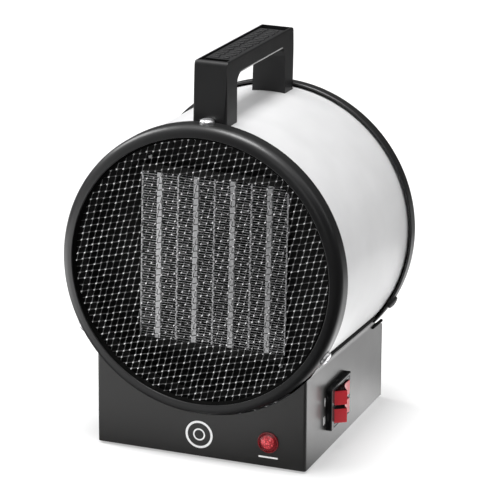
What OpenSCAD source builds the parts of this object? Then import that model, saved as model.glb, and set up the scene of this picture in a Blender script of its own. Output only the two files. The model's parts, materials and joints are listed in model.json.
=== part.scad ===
// Portable ceramic fan heater: a round sheet-steel drum that leans back on a
// box-shaped base. Millimetres, +Z up, -Y is the front, +X is the switch side.
// The origin lies on the surface the heater stands on, below the middle of the drum.

/* [Drum] */
// Outer radius of the drum
drum_r = 91; // [86:0.5:98]
// Sheet thickness of the drum
drum_wall = 1; // [0.8:0.1:1.5]
// Depth over both rings, from front face to rear face
body_d = 149; // [144:0.5:170]
// Height of the drum's underside above the lower edge of the base
drum_clear = 29.9; // [28:0.1:40]
// Angle by which the drum leans back on its base
lean = 2.6; // [0:0.1:5]
// Width of the flange turned in at each end of the drum
flange_w = 12; // [11:0.5:14]

/* [Rings] */
// Sheet thickness of the rings
ring_wall = 1.5; // [1:0.1:2]
// Air gap between the drum and the skirt of a ring
ring_gap = 1.5; // [1:0.1:2.5]
// Width of the rounded face of a ring
ring_face = 8.2; // [7:0.1:9]
// Depth of a ring from its face to the edge of its skirt
ring_d = 13.8; // [12:0.1:16]
// Depth of the inner lip that holds the guard
lip_d = 6; // [5:0.1:6.5]
// Number of screws in each ring
ring_screws = 3; // [3:1:6]
// Distance of the ring screws from the face
ring_screw_d = 10; // [9:0.1:10.5]
// Radius of a ring screw's head
ring_head_r = 4.5; // [3:0.1:4.8]
// Height of a ring screw's head
ring_head_h = 2.4; // [1.5:0.1:3]

/* [Guards] */
// Long way of the diamond mesh
mesh_long = 7.85; // [7:0.05:14]
// Short way of the diamond mesh
mesh_short = 4.83; // [4.4:0.01:9]
// Width of a strand
strand_w = 0.7; // [0.5:0.05:0.9]
// Thickness of a guard
guard_t = 1.2; // [1:0.1:1.6]
// Width of the solid rim of a guard
guard_rim = 5; // [4.5:0.1:6]

/* [Handle] */
// Width of the handle
handle_w = 21; // [18:0.2:26]
// Distance from the front ring's skirt to the handle
handle_front_gap = 1; // [0.6:0.1:3]
// Distance from the rear ring's skirt to the handle
handle_rear_gap = 1.5; // [0.6:0.1:4]
// How far the front leg's face leans in towards its top
front_draft = 1.2; // [0:0.1:2]
// How far the rear leg's face leans in towards its top
rear_draft = 2.8; // [0:0.1:4]
// Height of the handle above the drum
handle_h = 40.3; // [36:0.1:50]
// Thickness of the grip bar
grip_t = 9.9; // [9:0.1:14]
// Depth of a handle leg
leg_d = 18.7; // [16:0.1:22]
// Radius inside the corners of the handle
handle_in_r = 7; // [4:0.5:9]
// Radius of the handle's upright edges and its top ends
handle_edge_r = 3; // [2:0.1:4]
// Radius along the sides of the grip's top
grip_edge_r = 1; // [0.5:0.1:1.2]
// Width of the rim around the inlay
inlay_rim = 1.5; // [1.3:0.1:3]
// Depth of the recess for the inlay
inlay_depth = 1.8; // [1.4:0.1:2.2]
// Length of the open slot at each end of the inlay
inlay_slot = 3; // [2:0.1:5]
// Number of cross ribs on the inlay
inlay_ribs = 16; // [6:1:20]

/* [Base] */
// Width of the base
base_w = 142.2; // [138:0.2:148]
// Depth of the base
base_d = 144.6; // [142:0.2:147]
// Distance from the middle of the drum forward to the front panel
base_reach = 70.8; // [70:0.1:72]
// Sheet thickness of the base
base_sheet = 1; // [0.8:0.1:1.2]
// Outer radius of the vertical folds
base_fold_r = 2; // [1.5:0.1:3]
// Gap between the lower edge of the base and the surface below
base_lift = 1.5; // [1:0.1:2.2]
// Gap between the base's top edges and the drum
cradle_gap = 1.5; // [1:0.1:2]
// Width of the cradle flange on each side
cradle_w = 12; // [11:0.5:16]
// Gap between the base and the front ring
front_arc_gap = 2; // [1:0.1:3]
// Gap between the base and the rear ring
rear_arc_gap = 4; // [2:0.1:5]
// Height of the bottom plate above the lower edge
plate_rise = 2.5; // [2.3:0.1:4]

/* [Switch] */
// Distance of the switch from the front panel
switch_d = 55.1; // [50:0.1:65]
// Height of the switch's middle above the lower edge
switch_z = 28.5; // [27:0.1:31]
// Length of the switch's bezel
switch_l = 36.5; // [34:0.1:40]
// Height of the switch's bezel
switch_h = 29; // [28:0.1:31]
// How far the bezel stands out
switch_proud = 4; // [3:0.1:4.5]
// Width of a rocker
rocker_w = 8.9; // [8:0.1:9.2]
// Distance between the rockers' middles
rocker_pitch = 12.2; // [12:0.1:13]
// Swing of a rocker from one end to the other
rocker_swing = 30; // [20:1:32]

/* [Lamp] */
// Distance of the lamp from the middle
lamp_x = 46; // [40:0.5:52]
// Height of the lamp above the lower edge
lamp_z = 16.5; // [14:0.1:18]
// Radius of the lamp's lens
lens_r = 7; // [6:0.1:8]
// Height of the lens
lens_h = 3.6; // [2.5:0.1:5]

/* [Heating block] */
// Width of the heating block
block_w = 99; // [95:0.5:102]
// Height of the heating block
block_h = 109.2; // [100:0.4:112]
// Depth of the heating block
block_d = 15; // [12:0.5:18]
// Distance of the heating block from the front face
block_front = 25; // [22:0.5:30]
// Number of fin columns
fin_columns = 8; // [4:2:10]
// Distance between the folds of a fin
fin_pitch = 1.6; // [1.4:0.1:3]
// Thickness of the fin sheet
fin_t = 0.3; // [0.25:0.05:0.4]
// Thickness of a heating bar
bar_t = 3.3; // [2.6:0.1:3.6]
// Thickness of a contact plate
contact_t = 0.8; // [0.5:0.1:1]

/* [Fan and motor] */
// Radius over the fan blades
fan_r = 80; // [70:0.5:82]
// Radius of the fan hub
fan_hub_r = 20; // [16:0.5:24]
// Number of fan blades
fan_blades = 7; // [5:1:9]
// Angle of a blade to the fan's plane
blade_pitch = 30; // [24:1:34]
// Distance of the fan from the front face
fan_front = 58; // [56:0.5:60]
// Radius of the motor shaft
shaft_r = 2.5; // [2:0.1:3]
// Thickness of the motor's lamination stack
stack_t = 20; // [16:0.5:24]
// Distance of the stack from the front face
stack_front = 94; // [93:0.5:96]
// Radius of the motor's rotor
rotor_r = 16; // [12:0.5:17]

/* [Hidden] */
$fn = 96;

fit = 0.05;         // clearance between pieces that are fastened together
run = 0.03;         // radial clearance of a shaft or pin that turns
hole = 0.1;         // radial clearance of a screw in its hole
screw_r = 1.9;      // radius of an M4 screw, and its head
screw_head_r = 3.6;
screw_head_h = 2.2;
thin_r = 1.4;       // radius of an M3 screw
thin_l = 6;         // its length, and its head
thin_head_r = 2.8;
thin_head_h = 1.8;

axis_z = base_lift + drum_clear + drum_r;
front = -body_d / 2;
ring_r = drum_r + ring_gap + ring_wall;
open_r = ring_r - ring_face;
nose_r = ring_face / 2;
drum_front = lip_d + guard_t;
drum_l = body_d - 2 * drum_front;
drum_in_r = drum_r - drum_wall;
guard_r = drum_r;

// ---------- placing ----------

// Moves children into the drum's own frame, with its origin at the middle of the axis
module in_drum() translate([0, 0, axis_z]) rotate([-lean, 0, 0]) children();

// Turns a profile of radius and depth round the drum's axis, from depth d
module turned(d) translate([0, front + d, 0]) rotate([-90, 0, 0]) rotate_extrude() children();

// Stands a flat outline across the drum's axis, from depth d
module across(d, t) translate([0, front + d + t, 0]) rotate([90, 0, 0]) linear_extrude(t) children();

// Points children outwards from the axis at an angle from the top, at depth d
module spoke(angle, d) translate([0, front + d, 0]) rotate([0, angle, 0]) children();

// Points children out of the front, the right side or the rear of the base
module on_front(x, z) translate([x, -base_reach, base_lift + z]) rotate([90, 0, 0]) children();
module on_side(d, z) translate([base_w / 2, d - base_reach, base_lift + z]) rotate([90, 0, 90]) children();
module on_rear(x, z) translate([x, rear_y, base_lift + z]) rotate([90, 0, 180]) children();

// ---------- shared shapes ----------

// Rectangle with round corners, about its middle
module round_rect(w, h, r) {
    square([w - 2 * r, h], center = true);
    square([w, h - 2 * r], center = true);
    for (x = [-1, 1], y = [-1, 1]) translate([x * (w / 2 - r), y * (h / 2 - r)]) circle(r);
}

// Pan-head screw with its head's underside at z = 0, pointing down
module pan_screw(r, length, head_r, head_h) {
    translate([0, 0, -length]) cylinder(h = length + head_h / 2, r = r);
    difference() {
        intersection() {
            cylinder(h = head_h, r = head_r);
            translate([0, 0, head_h - 1.6 * head_r]) sphere(1.6 * head_r);
        }
        for (turn = [0, 90]) rotate(turn)
            translate([-0.55 * head_r, -0.1 * head_r, head_h / 2]) cube([1.1 * head_r, 0.2 * head_r, head_h]);
    }
}

// ---------- rings and guards ----------

ring_screw_l = ring_wall + ring_gap + drum_wall + 3;

module ring_profile() difference() {
    union() {
        translate([ring_r - nose_r, nose_r]) circle(nose_r);
        translate([open_r, nose_r]) square([ring_face, lip_d - nose_r]);
        translate([ring_r - ring_wall, nose_r]) square([ring_wall, ring_d - nose_r]);
    }
    translate([ring_r - nose_r, nose_r]) circle(nose_r - ring_wall);
    translate([open_r + ring_wall, nose_r]) square([ring_face - 2 * ring_wall, ring_d]);
}

// Ring with its inner bosses, face at depth 0
module ring() {
    difference() {
        union() {
            turned(0) ring_profile();
            for (k = [0:ring_screws - 1]) spoke(k * 360 / ring_screws, ring_screw_d)
                translate([0, 0, drum_r - 1]) cylinder(h = ring_gap + 1 + ring_wall / 2, r = ring_d - ring_screw_d);
        }
        turned(-1) square([drum_r + fit, ring_d + 2]);
        for (k = [0:ring_screws - 1]) spoke(k * 360 / ring_screws, ring_screw_d)
            translate([0, 0, drum_r - 2]) cylinder(h = ring_gap + ring_wall + 4, r = screw_r + hole);
    }
    turned(0) lip_profile();
}

// The face and the lip inside the drum's radius
module lip_profile() intersection() {
    ring_profile();
    square([drum_r + 2 * fit, lip_d]);
}

module ring_screw_set() for (k = [0:ring_screws - 1]) spoke(k * 360 / ring_screws, ring_screw_d)
    translate([0, 0, ring_r]) pan_screw(screw_r, ring_screw_l, ring_head_r, ring_head_h);

// Children mirrored to the rear end of the drum
module at_rear() mirror([0, 1, 0]) children();

module front_ring() color("#1c1c1e") in_drum() ring();
module rear_ring() color("#1c1c1e") in_drum() at_rear() ring();
module front_ring_screws() color("silver") in_drum() ring_screw_set();
module rear_ring_screws() color("#202022") in_drum() at_rear() ring_screw_set();

mesh_edge_r = guard_r - guard_rim;
strand_pitch = mesh_long * mesh_short / 2 / norm([mesh_long, mesh_short] / 2);
strand_angle = 45 - atan(mesh_short / mesh_long);
layer_gap = 0.02;
strand_t = (guard_t - layer_gap) / 2;
strand_count = floor((mesh_edge_r - strand_w) / strand_pitch);

// One layer of parallel strands that end inside the rim
module strands(turn, z) rotate(turn) for (k = [-strand_count:strand_count]) {
    half = sqrt(pow(mesh_edge_r, 2) - pow(abs(k) * strand_pitch + strand_w / 2, 2)) + 0.5;
    translate([-half, k * strand_pitch - strand_w / 2, z]) cube([2 * half, strand_w, strand_t]);
}

// Diamond mesh of two crossing layers of strands in a flat rim
module guard() translate([0, front + lip_d + guard_t, 0]) rotate([90, 0, 0]) {
    difference() {
        cylinder(h = guard_t, r = guard_r);
        translate([0, 0, -1]) cylinder(h = guard_t + 2, r = mesh_edge_r);
    }
    strands(strand_angle, 0);
    strands(90 - strand_angle, strand_t + layer_gap);
}

module front_guard() color("#4a4a4c") in_drum() guard();
module rear_guard() color("#4a4a4c") in_drum() at_rear() guard();

// ---------- drum ----------

drum_fold_r = 2;
grommet_d = 100;
grommet_hole_r = 6;
cradle_r = drum_r + cradle_gap;
cradle_angle = 180 - asin((base_w / 2 - base_sheet - cradle_w / 2) / cradle_r);
cradle_screw_inset = 45;
cradle_screw_ds = [cradle_screw_inset, body_d - cradle_screw_inset];
handle_front = ring_d + handle_front_gap;
handle_foot_l = body_d - 2 * ring_d - handle_front_gap - handle_rear_gap;
handle_top_l = handle_foot_l - front_draft - rear_draft;
handle_mid = handle_front + handle_foot_l / 2;
leg_mids = [handle_front + leg_d / 2, handle_front + handle_foot_l - leg_d / 2];
strap_screw_r = drum_r - flange_w / 2;

module drum_profile() difference() {
    union() {
        translate([drum_r - drum_fold_r, drum_fold_r]) circle(drum_fold_r);
        translate([drum_r - drum_fold_r, drum_l - drum_fold_r]) circle(drum_fold_r);
        translate([drum_r - flange_w, 0]) square([flange_w - drum_fold_r, drum_l]);
        translate([drum_r - flange_w, drum_fold_r]) square([flange_w, drum_l - 2 * drum_fold_r]);
    }
    translate([drum_r - flange_w - 1, drum_wall]) square([flange_w + 1 - drum_wall, drum_l - 2 * drum_wall]);
}

module drum() color("#e6e6e8") in_drum() difference() {
    turned(drum_front) drum_profile();
    for (k = [0:ring_screws - 1], d = [ring_screw_d, body_d - ring_screw_d])
        spoke(k * 360 / ring_screws, d) translate([0, 0, drum_in_r - 4]) cylinder(h = 8, r = screw_r + hole);
    for (d = leg_mids) spoke(0, d) translate([0, 0, drum_in_r - 4]) cylinder(h = 8, r = screw_r + hole);
    for (side = [-1, 1], d = cradle_screw_ds) spoke(side * cradle_angle, d)
        translate([0, 0, drum_in_r - 4]) cylinder(h = 8, r = screw_r + hole);
    for (side = [-1, 1]) translate([side * strap_screw_r, body_d / 2 - drum_front, 0]) rotate([90, 0, 0])
        translate([0, 0, -1]) cylinder(h = drum_wall + 2, r = thin_r + hole);
    spoke(180, grommet_d) translate([0, 0, drum_in_r - 4]) cylinder(h = 8, r = grommet_hole_r);
}

// Rubber bush where the leads pass from the base into the drum
module drum_grommet() color("#151515") in_drum() spoke(180, grommet_d) translate([0, 0, drum_in_r - 2])
    rotate_extrude() difference() {
        union() {
            translate([4, 0]) square([4, 1.5]);
            translate([4, 0]) square([grommet_hole_r - fit - 4, 5]);
            translate([4, 3.5]) square([4, 1.5]);
        }
        translate([grommet_hole_r - fit, 1.5]) square([4, 2]);
    }

// ---------- handle ----------

handle_top = drum_r + handle_h;
handle_bot = handle_top - grip_t;
inlay_l = handle_top_l - 2 * (inlay_slot + handle_edge_r + 0.2);
inlay_w = handle_w - 2 * inlay_rim;
inlay_mid = handle_front + front_draft + handle_top_l / 2;
inlay_t = 1.2;
rib_h = 0.4;
handle_screw_l = 16;
handle_head_r = 4;

module handle() color("#232325") in_drum() difference() {
    intersection() {
        // side outline
        translate([-handle_w / 2, front + handle_front, 0]) rotate([90, 0, 90]) linear_extrude(handle_w) handle_side();
        // end outline with the grip's long edges eased
        translate([0, front + handle_front + handle_foot_l, 0]) rotate([90, 0, 0]) linear_extrude(handle_foot_l)
            translate([0, handle_top / 2]) round_rect(handle_w, handle_top, grip_edge_r);
        // plan outline with round upright edges
        translate([0, front + handle_mid, 0]) linear_extrude(handle_top)
            round_rect(handle_w, handle_foot_l, handle_edge_r);
    }
    translate([0, front + body_d, 0]) rotate([90, 0, 0]) cylinder(h = body_d, r = drum_r + fit);
    translate([0, front + inlay_mid, handle_top - inlay_depth]) linear_extrude(inlay_depth + 1)
        round_rect(inlay_w, inlay_l + 2 * inlay_slot, 0.8);
    for (d = leg_mids) spoke(0, d) translate([0, 0, drum_r - 2]) cylinder(h = handle_screw_l + 2, r = screw_r + fit);
}

// Side outline of the handle: drawn as depth and height, foot corner at the origin
module handle_side() difference() {
    ends = [front_draft, front_draft + handle_top_l];
    union() {
        polygon([[0, 0], [handle_foot_l, 0], [handle_foot_l, drum_r - 4], [ends[1], handle_top - handle_edge_r],
            [ends[1] - handle_edge_r, handle_top], [ends[0] + handle_edge_r, handle_top],
            [ends[0], handle_top - handle_edge_r], [0, drum_r - 4]]);
        for (x = [ends[0] + handle_edge_r, ends[1] - handle_edge_r])
            translate([x, handle_top - handle_edge_r]) circle(handle_edge_r);
    }
    translate([handle_foot_l / 2, handle_bot / 2])
        round_rect(handle_foot_l - 2 * leg_d, handle_bot, handle_in_r);
    translate([leg_d, -1]) square([handle_foot_l - 2 * leg_d, drum_r / 2]);
}

// Ribbed plate let into the top of the grip
module handle_inlay() color("#2b2b2d") in_drum() translate([0, front + inlay_mid, handle_top - inlay_depth]) {
    linear_extrude(inlay_t) round_rect(inlay_w - 2 * fit, inlay_l, 0.7);
    for (k = [0:inlay_ribs - 1])
        translate([0, (k - (inlay_ribs - 1) / 2) * inlay_l / (inlay_ribs + 1), inlay_t - rib_h])
            linear_extrude(2 * rib_h) round_rect(inlay_w - 4, 1.6, 0.7);
}

module handle_screws() color("silver") in_drum() for (d = leg_mids) spoke(0, d)
    translate([0, 0, drum_in_r - 3 * fit]) rotate([180, 0, 0]) pan_screw(screw_r, handle_screw_l, handle_head_r, screw_head_h);

// ---------- base ----------

base_top = axis_z;
base_in_w = base_w - 2 * base_sheet;
rear_y = base_d - base_reach;
rear_lip_w = 12;
ear = 14;
ear_z = base_lift + plate_rise + base_sheet;
plate_gap = 0.3;
corner_x = base_in_w / 2 - ear / 2;
corner_ys = [-base_reach + base_sheet + ear / 2, rear_y - 2 * base_sheet - ear / 2];
rear_screw_x = base_w / 2 - base_sheet - rear_lip_w / 2;
rear_screw_zs = [10, 36];
lamp_hole_r = 5;
gland_inset = 27.1;
gland_x = gland_inset - base_w / 2;
gland_z = 20;
gland_hole_r = 6;
switch_cut_l = switch_l - 5;
switch_cut_h = switch_h - 4;
ring_relief = 11;
rear_ring_clear = 2;
cradle_start = ring_d + ring_relief;
cradle_end = body_d - ring_d - rear_ring_clear;

// Everything the drum and its rings need room for, above and inside the base
module drum_room() in_drum() {
    translate([0, front + body_d + 20, 0]) rotate([90, 0, 0]) cylinder(h = body_d + 40, r = cradle_r);
    turned(0) polygon([[0, -ring_relief], [ring_r + front_arc_gap, -ring_relief],
        [ring_r + front_arc_gap, ring_d], [cradle_r, ring_d + ring_relief], [0, ring_d + ring_relief]]);
    turned(body_d) polygon([[0, ring_relief], [ring_r + rear_arc_gap, ring_relief],
        [ring_r + rear_arc_gap, -ring_d - rear_ring_clear], [0, -ring_d - rear_ring_clear]]);
}

module base_housing() color("#48484a") difference() {
    union() {
        // front and sides, folded from one sheet, with a lip turned in at the rear
        translate([0, 0, base_lift]) linear_extrude(base_top - base_lift) difference() {
            housing_outline(0);
            difference() {
                housing_outline(base_sheet);
                for (side = [-1, 1]) translate([side * rear_screw_x, rear_y - 1.5 * base_sheet])
                    square([rear_lip_w + 2 * fit, base_sheet], center = true);
            }
            translate([-base_w, rear_y - base_sheet]) square([2 * base_w, 10]);
        }
        // cradle flanges that carry the drum
        for (side = [-1, 1]) cradle_flange(side);
        // ears for the bottom plate
        for (side = [-1, 1], y = corner_ys) translate([side * corner_x, y, ear_z])
            linear_extrude(base_sheet) square(ear + 2 * fit, center = true);
    }
    drum_room();
    on_front(lamp_x, lamp_z) translate([0, 0, -3]) cylinder(h = 6, r = lamp_hole_r + hole);
    on_side(switch_d, switch_z) translate([0, 0, -3]) linear_extrude(6)
        square([switch_cut_l, switch_cut_h], center = true);
    for (side = [-1, 1], y = corner_ys) translate([side * corner_x, y, 0]) cylinder(h = 20, r = thin_r + hole);
    for (side = [-1, 1], z = rear_screw_zs) on_rear(side * rear_screw_x, z)
        translate([0, 0, -5]) cylinder(h = 6, r = thin_r + hole);
    in_drum() for (side = [-1, 1], d = cradle_screw_ds) spoke(side * cradle_angle, d)
        translate([0, 0, drum_r]) cylinder(h = 10, r = screw_r + hole);
}

// Plan outline of the housing, drawn in by an inset
module housing_outline(inset) translate([0, base_d / 2 - base_reach])
    round_rect(base_w - 2 * inset, base_d - 2 * inset, base_fold_r - inset / 2);

// Flange that follows the drum, turned in from the top of a side panel
module cradle_flange(side) intersection() {
    in_drum() difference() {
        translate([0, front + cradle_end, 0]) rotate([90, 0, 0])
            cylinder(h = cradle_end - cradle_start, r = cradle_r + base_sheet);
        translate([0, front + body_d, 0]) rotate([90, 0, 0]) cylinder(h = body_d, r = cradle_r);
    }
    translate([side * (base_in_w / 2 - cradle_w / 2 + base_sheet / 4), 0, base_top / 2])
        cube([cradle_w + base_sheet / 2, body_d, base_top], center = true);
}

// Strips between the cradle flanges and the drum
module drum_seals() color("#101010") for (side = [-1, 1]) intersection() {
    in_drum() difference() {
        translate([0, front + cradle_end - 1, 0]) rotate([90, 0, 0])
            cylinder(h = cradle_end - cradle_start - 1, r = cradle_r - fit);
        translate([0, front + body_d, 0]) rotate([90, 0, 0]) cylinder(h = body_d, r = drum_r + fit);
        for (d = cradle_screw_ds) spoke(side * cradle_angle, d)
            translate([0, 0, drum_r - 1]) cylinder(h = 5, r = screw_r + hole);
    }
    translate([side * (base_in_w / 2 - cradle_w / 2), 0, base_top / 2])
        cube([cradle_w, body_d, base_top], center = true);
}

module cradle_screws() color("silver") in_drum() for (side = [-1, 1], d = cradle_screw_ds)
    spoke(side * cradle_angle, d) translate([0, 0, cradle_r + base_sheet + 3 * fit])
        pan_screw(screw_r, base_sheet + cradle_gap + drum_wall + 2, screw_head_r, screw_head_h);

module base_rear_panel() color("#48484a") difference() {
    translate([0, rear_y, base_lift]) rotate([90, 0, 0]) linear_extrude(base_sheet)
        translate([-base_w / 2, 0]) square([base_w, base_top - base_lift]);
    drum_room();
    for (side = [-1, 1], z = rear_screw_zs) on_rear(side * rear_screw_x, z)
        translate([0, 0, -5]) cylinder(h = 6, r = thin_r + hole);
    on_rear(gland_x, gland_z) translate([0, 0, -5]) cylinder(h = 10, r = gland_hole_r + hole);
}

module base_rear_screws() color("#202022") for (side = [-1, 1], z = rear_screw_zs)
    on_rear(side * rear_screw_x, z) pan_screw(thin_r, thin_l, thin_head_r, thin_head_h);

foot_inset_x = 22;
foot_inset_y = 24;
foot_x = base_w / 2 - foot_inset_x;
foot_ys = [foot_inset_y - base_reach, rear_y - foot_inset_y];
foot_r = 7;
foot_stem_r = 2.5;
foot_barb_r = foot_stem_r + 1;
vent_l = 40;
vent_w = 3;
vent_pitch = 9;
plate_top = base_lift + plate_rise + base_sheet;

module base_bottom_plate() color("#58585a") difference() {
    translate([0, (base_d - base_sheet) / 2 - base_reach, plate_top - base_sheet]) linear_extrude(base_sheet)
        round_rect(base_in_w - 2 * plate_gap, base_d - 3 * base_sheet - 2 * plate_gap, 2);
    for (side = [-1, 1], y = corner_ys) translate([side * corner_x, y, 0]) cylinder(h = 20, r = thin_r + hole);
    for (side = [-1, 1], y = foot_ys) translate([side * foot_x, y, 0]) cylinder(h = 20, r = foot_stem_r + hole);
    // air slots
    for (k = [-3:3]) translate([0, k * vent_pitch, 0]) linear_extrude(20) round_rect(vent_l, vent_w, vent_w / 2 - fit);
}

module base_bottom_screws() color("silver") for (side = [-1, 1], y = corner_ys)
    translate([side * corner_x, y, plate_top - base_sheet]) rotate([180, 0, 0]) pan_screw(thin_r, thin_l, thin_head_r, thin_head_h);

// Rubber feet, pushed through the bottom plate
module feet() color("#151515") for (side = [-1, 1], y = foot_ys) translate([side * foot_x, y, 0])
    rotate_extrude() {
        polygon([[0, 0], [foot_r - 1, 0], [foot_r, 1], [foot_r, plate_top - base_sheet], [0, plate_top - base_sheet]]);
        square([foot_stem_r, plate_top + fit]);
        translate([0, plate_top]) polygon([[0, 0], [foot_barb_r, 0], [foot_barb_r - 2, 2.5], [0, 2.5]]);
    }

// ---------- switch ----------

rocker_r = 12.7;        // radius of the rocker's ends about its pivot
rocker_gap = 0.35;
pivot_h = 0.3;          // pivot above the side panel
pivot_r = 1.3;
pivot_l = 0.7;          // pivot's length beyond the gap
rocker_depth = 6;
pocket_depth = 12;
switch_body_d = 22;
blade_w = 6.3;
blade_t = 0.8;
blade_l = 8;

module switch_body() color("#161618") on_side(switch_d, switch_z) difference() {
    union() {
        // bezel with a bevelled face
        linear_extrude(switch_proud - 1) round_rect(switch_l, switch_h, 1);
        translate([0, 0, switch_proud - 1]) linear_extrude(1) round_rect(switch_l - 1.6, switch_h - 1.6, 1);
        translate([0, 0, -switch_body_d]) linear_extrude(switch_body_d + 0.5)
            square([switch_cut_l - 2 * hole, switch_cut_h - 2 * hole], center = true);
    }
    for (side = [-1, 1]) translate([0, side * rocker_pitch / 2, 0]) {
        translate([0, 0, pivot_h - pocket_depth]) linear_extrude(pocket_depth + switch_proud)
            square([2 * (rocker_r + rocker_gap), rocker_w + 2 * rocker_gap], center = true);
        translate([0, 0, pivot_h]) rotate([90, 0, 0])
            cylinder(h = rocker_w + 2 * (rocker_gap + pivot_l + 0.1), r = pivot_r + run, center = true);
    }
    for (x = [-1, 1], side = [-1, 1]) translate([x * 8, side * rocker_pitch / 2, -switch_body_d - 1])
        linear_extrude(blade_l) square([blade_t + 2 * fit, blade_w + 2 * fit], center = true);
}

// Side outline of a rocker about its pivot, level
module rocker_outline() intersection() {
    circle(rocker_r);
    polygon([[-rocker_r, -0.9], [-9.3, 6.4], [0, 4.9], [9.3, 6.4], [rocker_r, -0.9], [8, -rocker_depth], [-8, -rocker_depth]]);
}

module rocker(side) color("#b8242b") on_side(switch_d, switch_z)
    translate([0, side * rocker_pitch / 2, pivot_h]) rotate([0, rocker_swing / 2, 0]) rotate([90, 0, 0]) {
        translate([0, 0, -rocker_w / 2]) linear_extrude(rocker_w) rocker_outline();
        cylinder(h = rocker_w + 2 * (rocker_gap + pivot_l), r = pivot_r, center = true);
    }

module upper_rocker() rocker(1);
module lower_rocker() rocker(-1);

module switch_terminals() color("#c9a24a") on_side(switch_d, switch_z) for (x = [-1, 1], side = [-1, 1])
    translate([x * 8, side * rocker_pitch / 2, -switch_body_d - blade_l]) linear_extrude(2 * blade_l - 1.5)
        square([blade_t, blade_w], center = true);

// ---------- lamp ----------

lamp_body_l = 20;

module lamp_lens() color("#c8282c") on_front(lamp_x, lamp_z) intersection() {
    cylinder(h = lens_h, r = lens_r);
    translate([0, 0, lens_h - (lens_r * lens_r + lens_h * lens_h) / (2 * lens_h) * 1.1])
        sphere((lens_r * lens_r + lens_h * lens_h) / (2 * lens_h) * 1.1);
}

module lamp_body() color("#1a1a1a") on_front(lamp_x, lamp_z) {
    translate([0, 0, -lamp_body_l]) cylinder(h = lamp_body_l, r = lamp_hole_r);
    for (x = [-1, 1]) translate([x * 2.5, 0, -lamp_body_l - 4]) linear_extrude(4.5) square([blade_t, 4], center = true);
}

// Spring nut that clamps the lamp behind the front panel
module lamp_nut() color("silver") on_front(lamp_x, lamp_z) translate([0, 0, -base_sheet - 1.5]) difference() {
    cylinder(h = 1.5, r = 8);
    translate([0, 0, -1]) cylinder(h = 4, r = lamp_hole_r + fit);
}

// ---------- mains inlet ----------

gland_bore_r = 3.7;
gland_flange_r = 9;
gland_proud = 4;
gland_tail = 9;
gland_nut_t = 4;
gland_nut_r = 9.5;

module cable_gland() color("#18181a") on_rear(gland_x, gland_z) rotate_extrude() polygon([
    [gland_bore_r, -gland_tail], [gland_hole_r, -gland_tail], [gland_hole_r, 0], [gland_flange_r, 0],
    [gland_flange_r, 2], [gland_flange_r - 2, gland_proud], [gland_bore_r + 0.6, gland_proud],
    [gland_bore_r, gland_proud - 0.6]]);

module gland_nut() color("#18181a") on_rear(gland_x, gland_z)
    translate([0, 0, -base_sheet - gland_nut_t]) difference() {
        cylinder(h = gland_nut_t, r = gland_nut_r, $fn = 6);
        translate([0, 0, -1]) cylinder(h = gland_nut_t + 2, r = gland_hole_r + fit);
    }

term_pitch = 10;
term_poles = 3;
term_l = term_pitch * (term_poles - 1) + 14;
term_w = 22;
term_foot_h = 8;
term_h = 15;
term_wall = 1;
term_bore_r = 2;
term_screw_y = 6;
term_y = foot_ys[1] - foot_barb_r - 1 - term_w / 2;

// Terminal block on the bottom plate: a tower with a wire bore and two screw wells for each pole
module terminal_block() color("#d8d4c4") translate([gland_x + term_wall, term_y, plate_top]) difference() {
    poles = [for (k = [0:term_poles - 1]) (k - (term_poles - 1) / 2) * term_pitch];
    union() {
        linear_extrude(term_foot_h) round_rect(term_l, term_w, term_wall);
        for (x = poles) translate([x, 0, 0])
            linear_extrude(term_h) round_rect(term_pitch - 2 * term_wall, term_w - 2 * term_wall, term_wall);
    }
    for (x = poles) {
        translate([x, 0, term_foot_h + term_wall]) rotate([90, 0, 0])
            cylinder(h = 2 * term_w, r = term_bore_r, center = true);
        for (y = [-1, 1]) translate([x, y * term_screw_y, term_foot_h + term_wall + term_bore_r])
            cylinder(h = term_h, r = term_bore_r + 0.2);
    }
}

// ---------- heating block ----------

plate_d = leg_mids[0] + handle_head_r + 0.5;
plate_rim = 10;
window_gap = 0.7;
holder_h = 5;
holder_ear = 7;
holder_over = 1;
ear_screw_x = block_w / 2 - 4;
ear_screw_z = block_h / 2 + holder_h + holder_ear / 2;

// Black partition that leaves the air no way but through the block
module heater_plate() color("#141416") in_drum() difference() {
    turned(plate_d) difference() {
        square([drum_in_r - 2 * fit, plate_rim]);
        translate([-1, base_sheet]) square([drum_in_r - 2 * fit - base_sheet + 1, plate_rim]);
    }
    across(plate_d - 1, base_sheet + 2)
        square([block_w + 2 * window_gap, block_h + 2 * holder_h + 2 * window_gap], center = true);
    for (x = [-1, 1], z = [-1, 1]) translate([x * ear_screw_x, front + plate_d + 3, z * ear_screw_z])
        rotate([90, 0, 0]) cylinder(h = 6, r = thin_r + hole);
}

// Insulating holders above and below the block, with an ear behind the partition
module block_holders() color("#2a2622") in_drum() for (side = [0, 1]) mirror([0, 0, side]) difference() {
    union() {
        across(block_front - holder_over, block_d + 2 * holder_over)
            translate([-block_w / 2, block_h / 2]) square([block_w, holder_h]);
        across(plate_d + base_sheet, 2)
            translate([-block_w / 2, block_h / 2]) square([block_w, holder_h + holder_ear]);
    }
    for (x = [-1, 1]) translate([x * ear_screw_x, front + plate_d + 6, ear_screw_z])
        rotate([90, 0, 0]) cylinder(h = 8, r = thin_r + hole);
}

module holder_screws() color("silver") in_drum() for (x = [-1, 1], z = [-1, 1])
    translate([x * ear_screw_x, front + plate_d + base_sheet + 2, z * ear_screw_z])
        rotate([-90, 0, 0]) pan_screw(thin_r, base_sheet + 2, thin_head_r, thin_head_h);

column_pitch = block_w / fin_columns;
fin_folds = floor((block_h - fin_t) / fin_pitch / 2) * 2;

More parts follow.
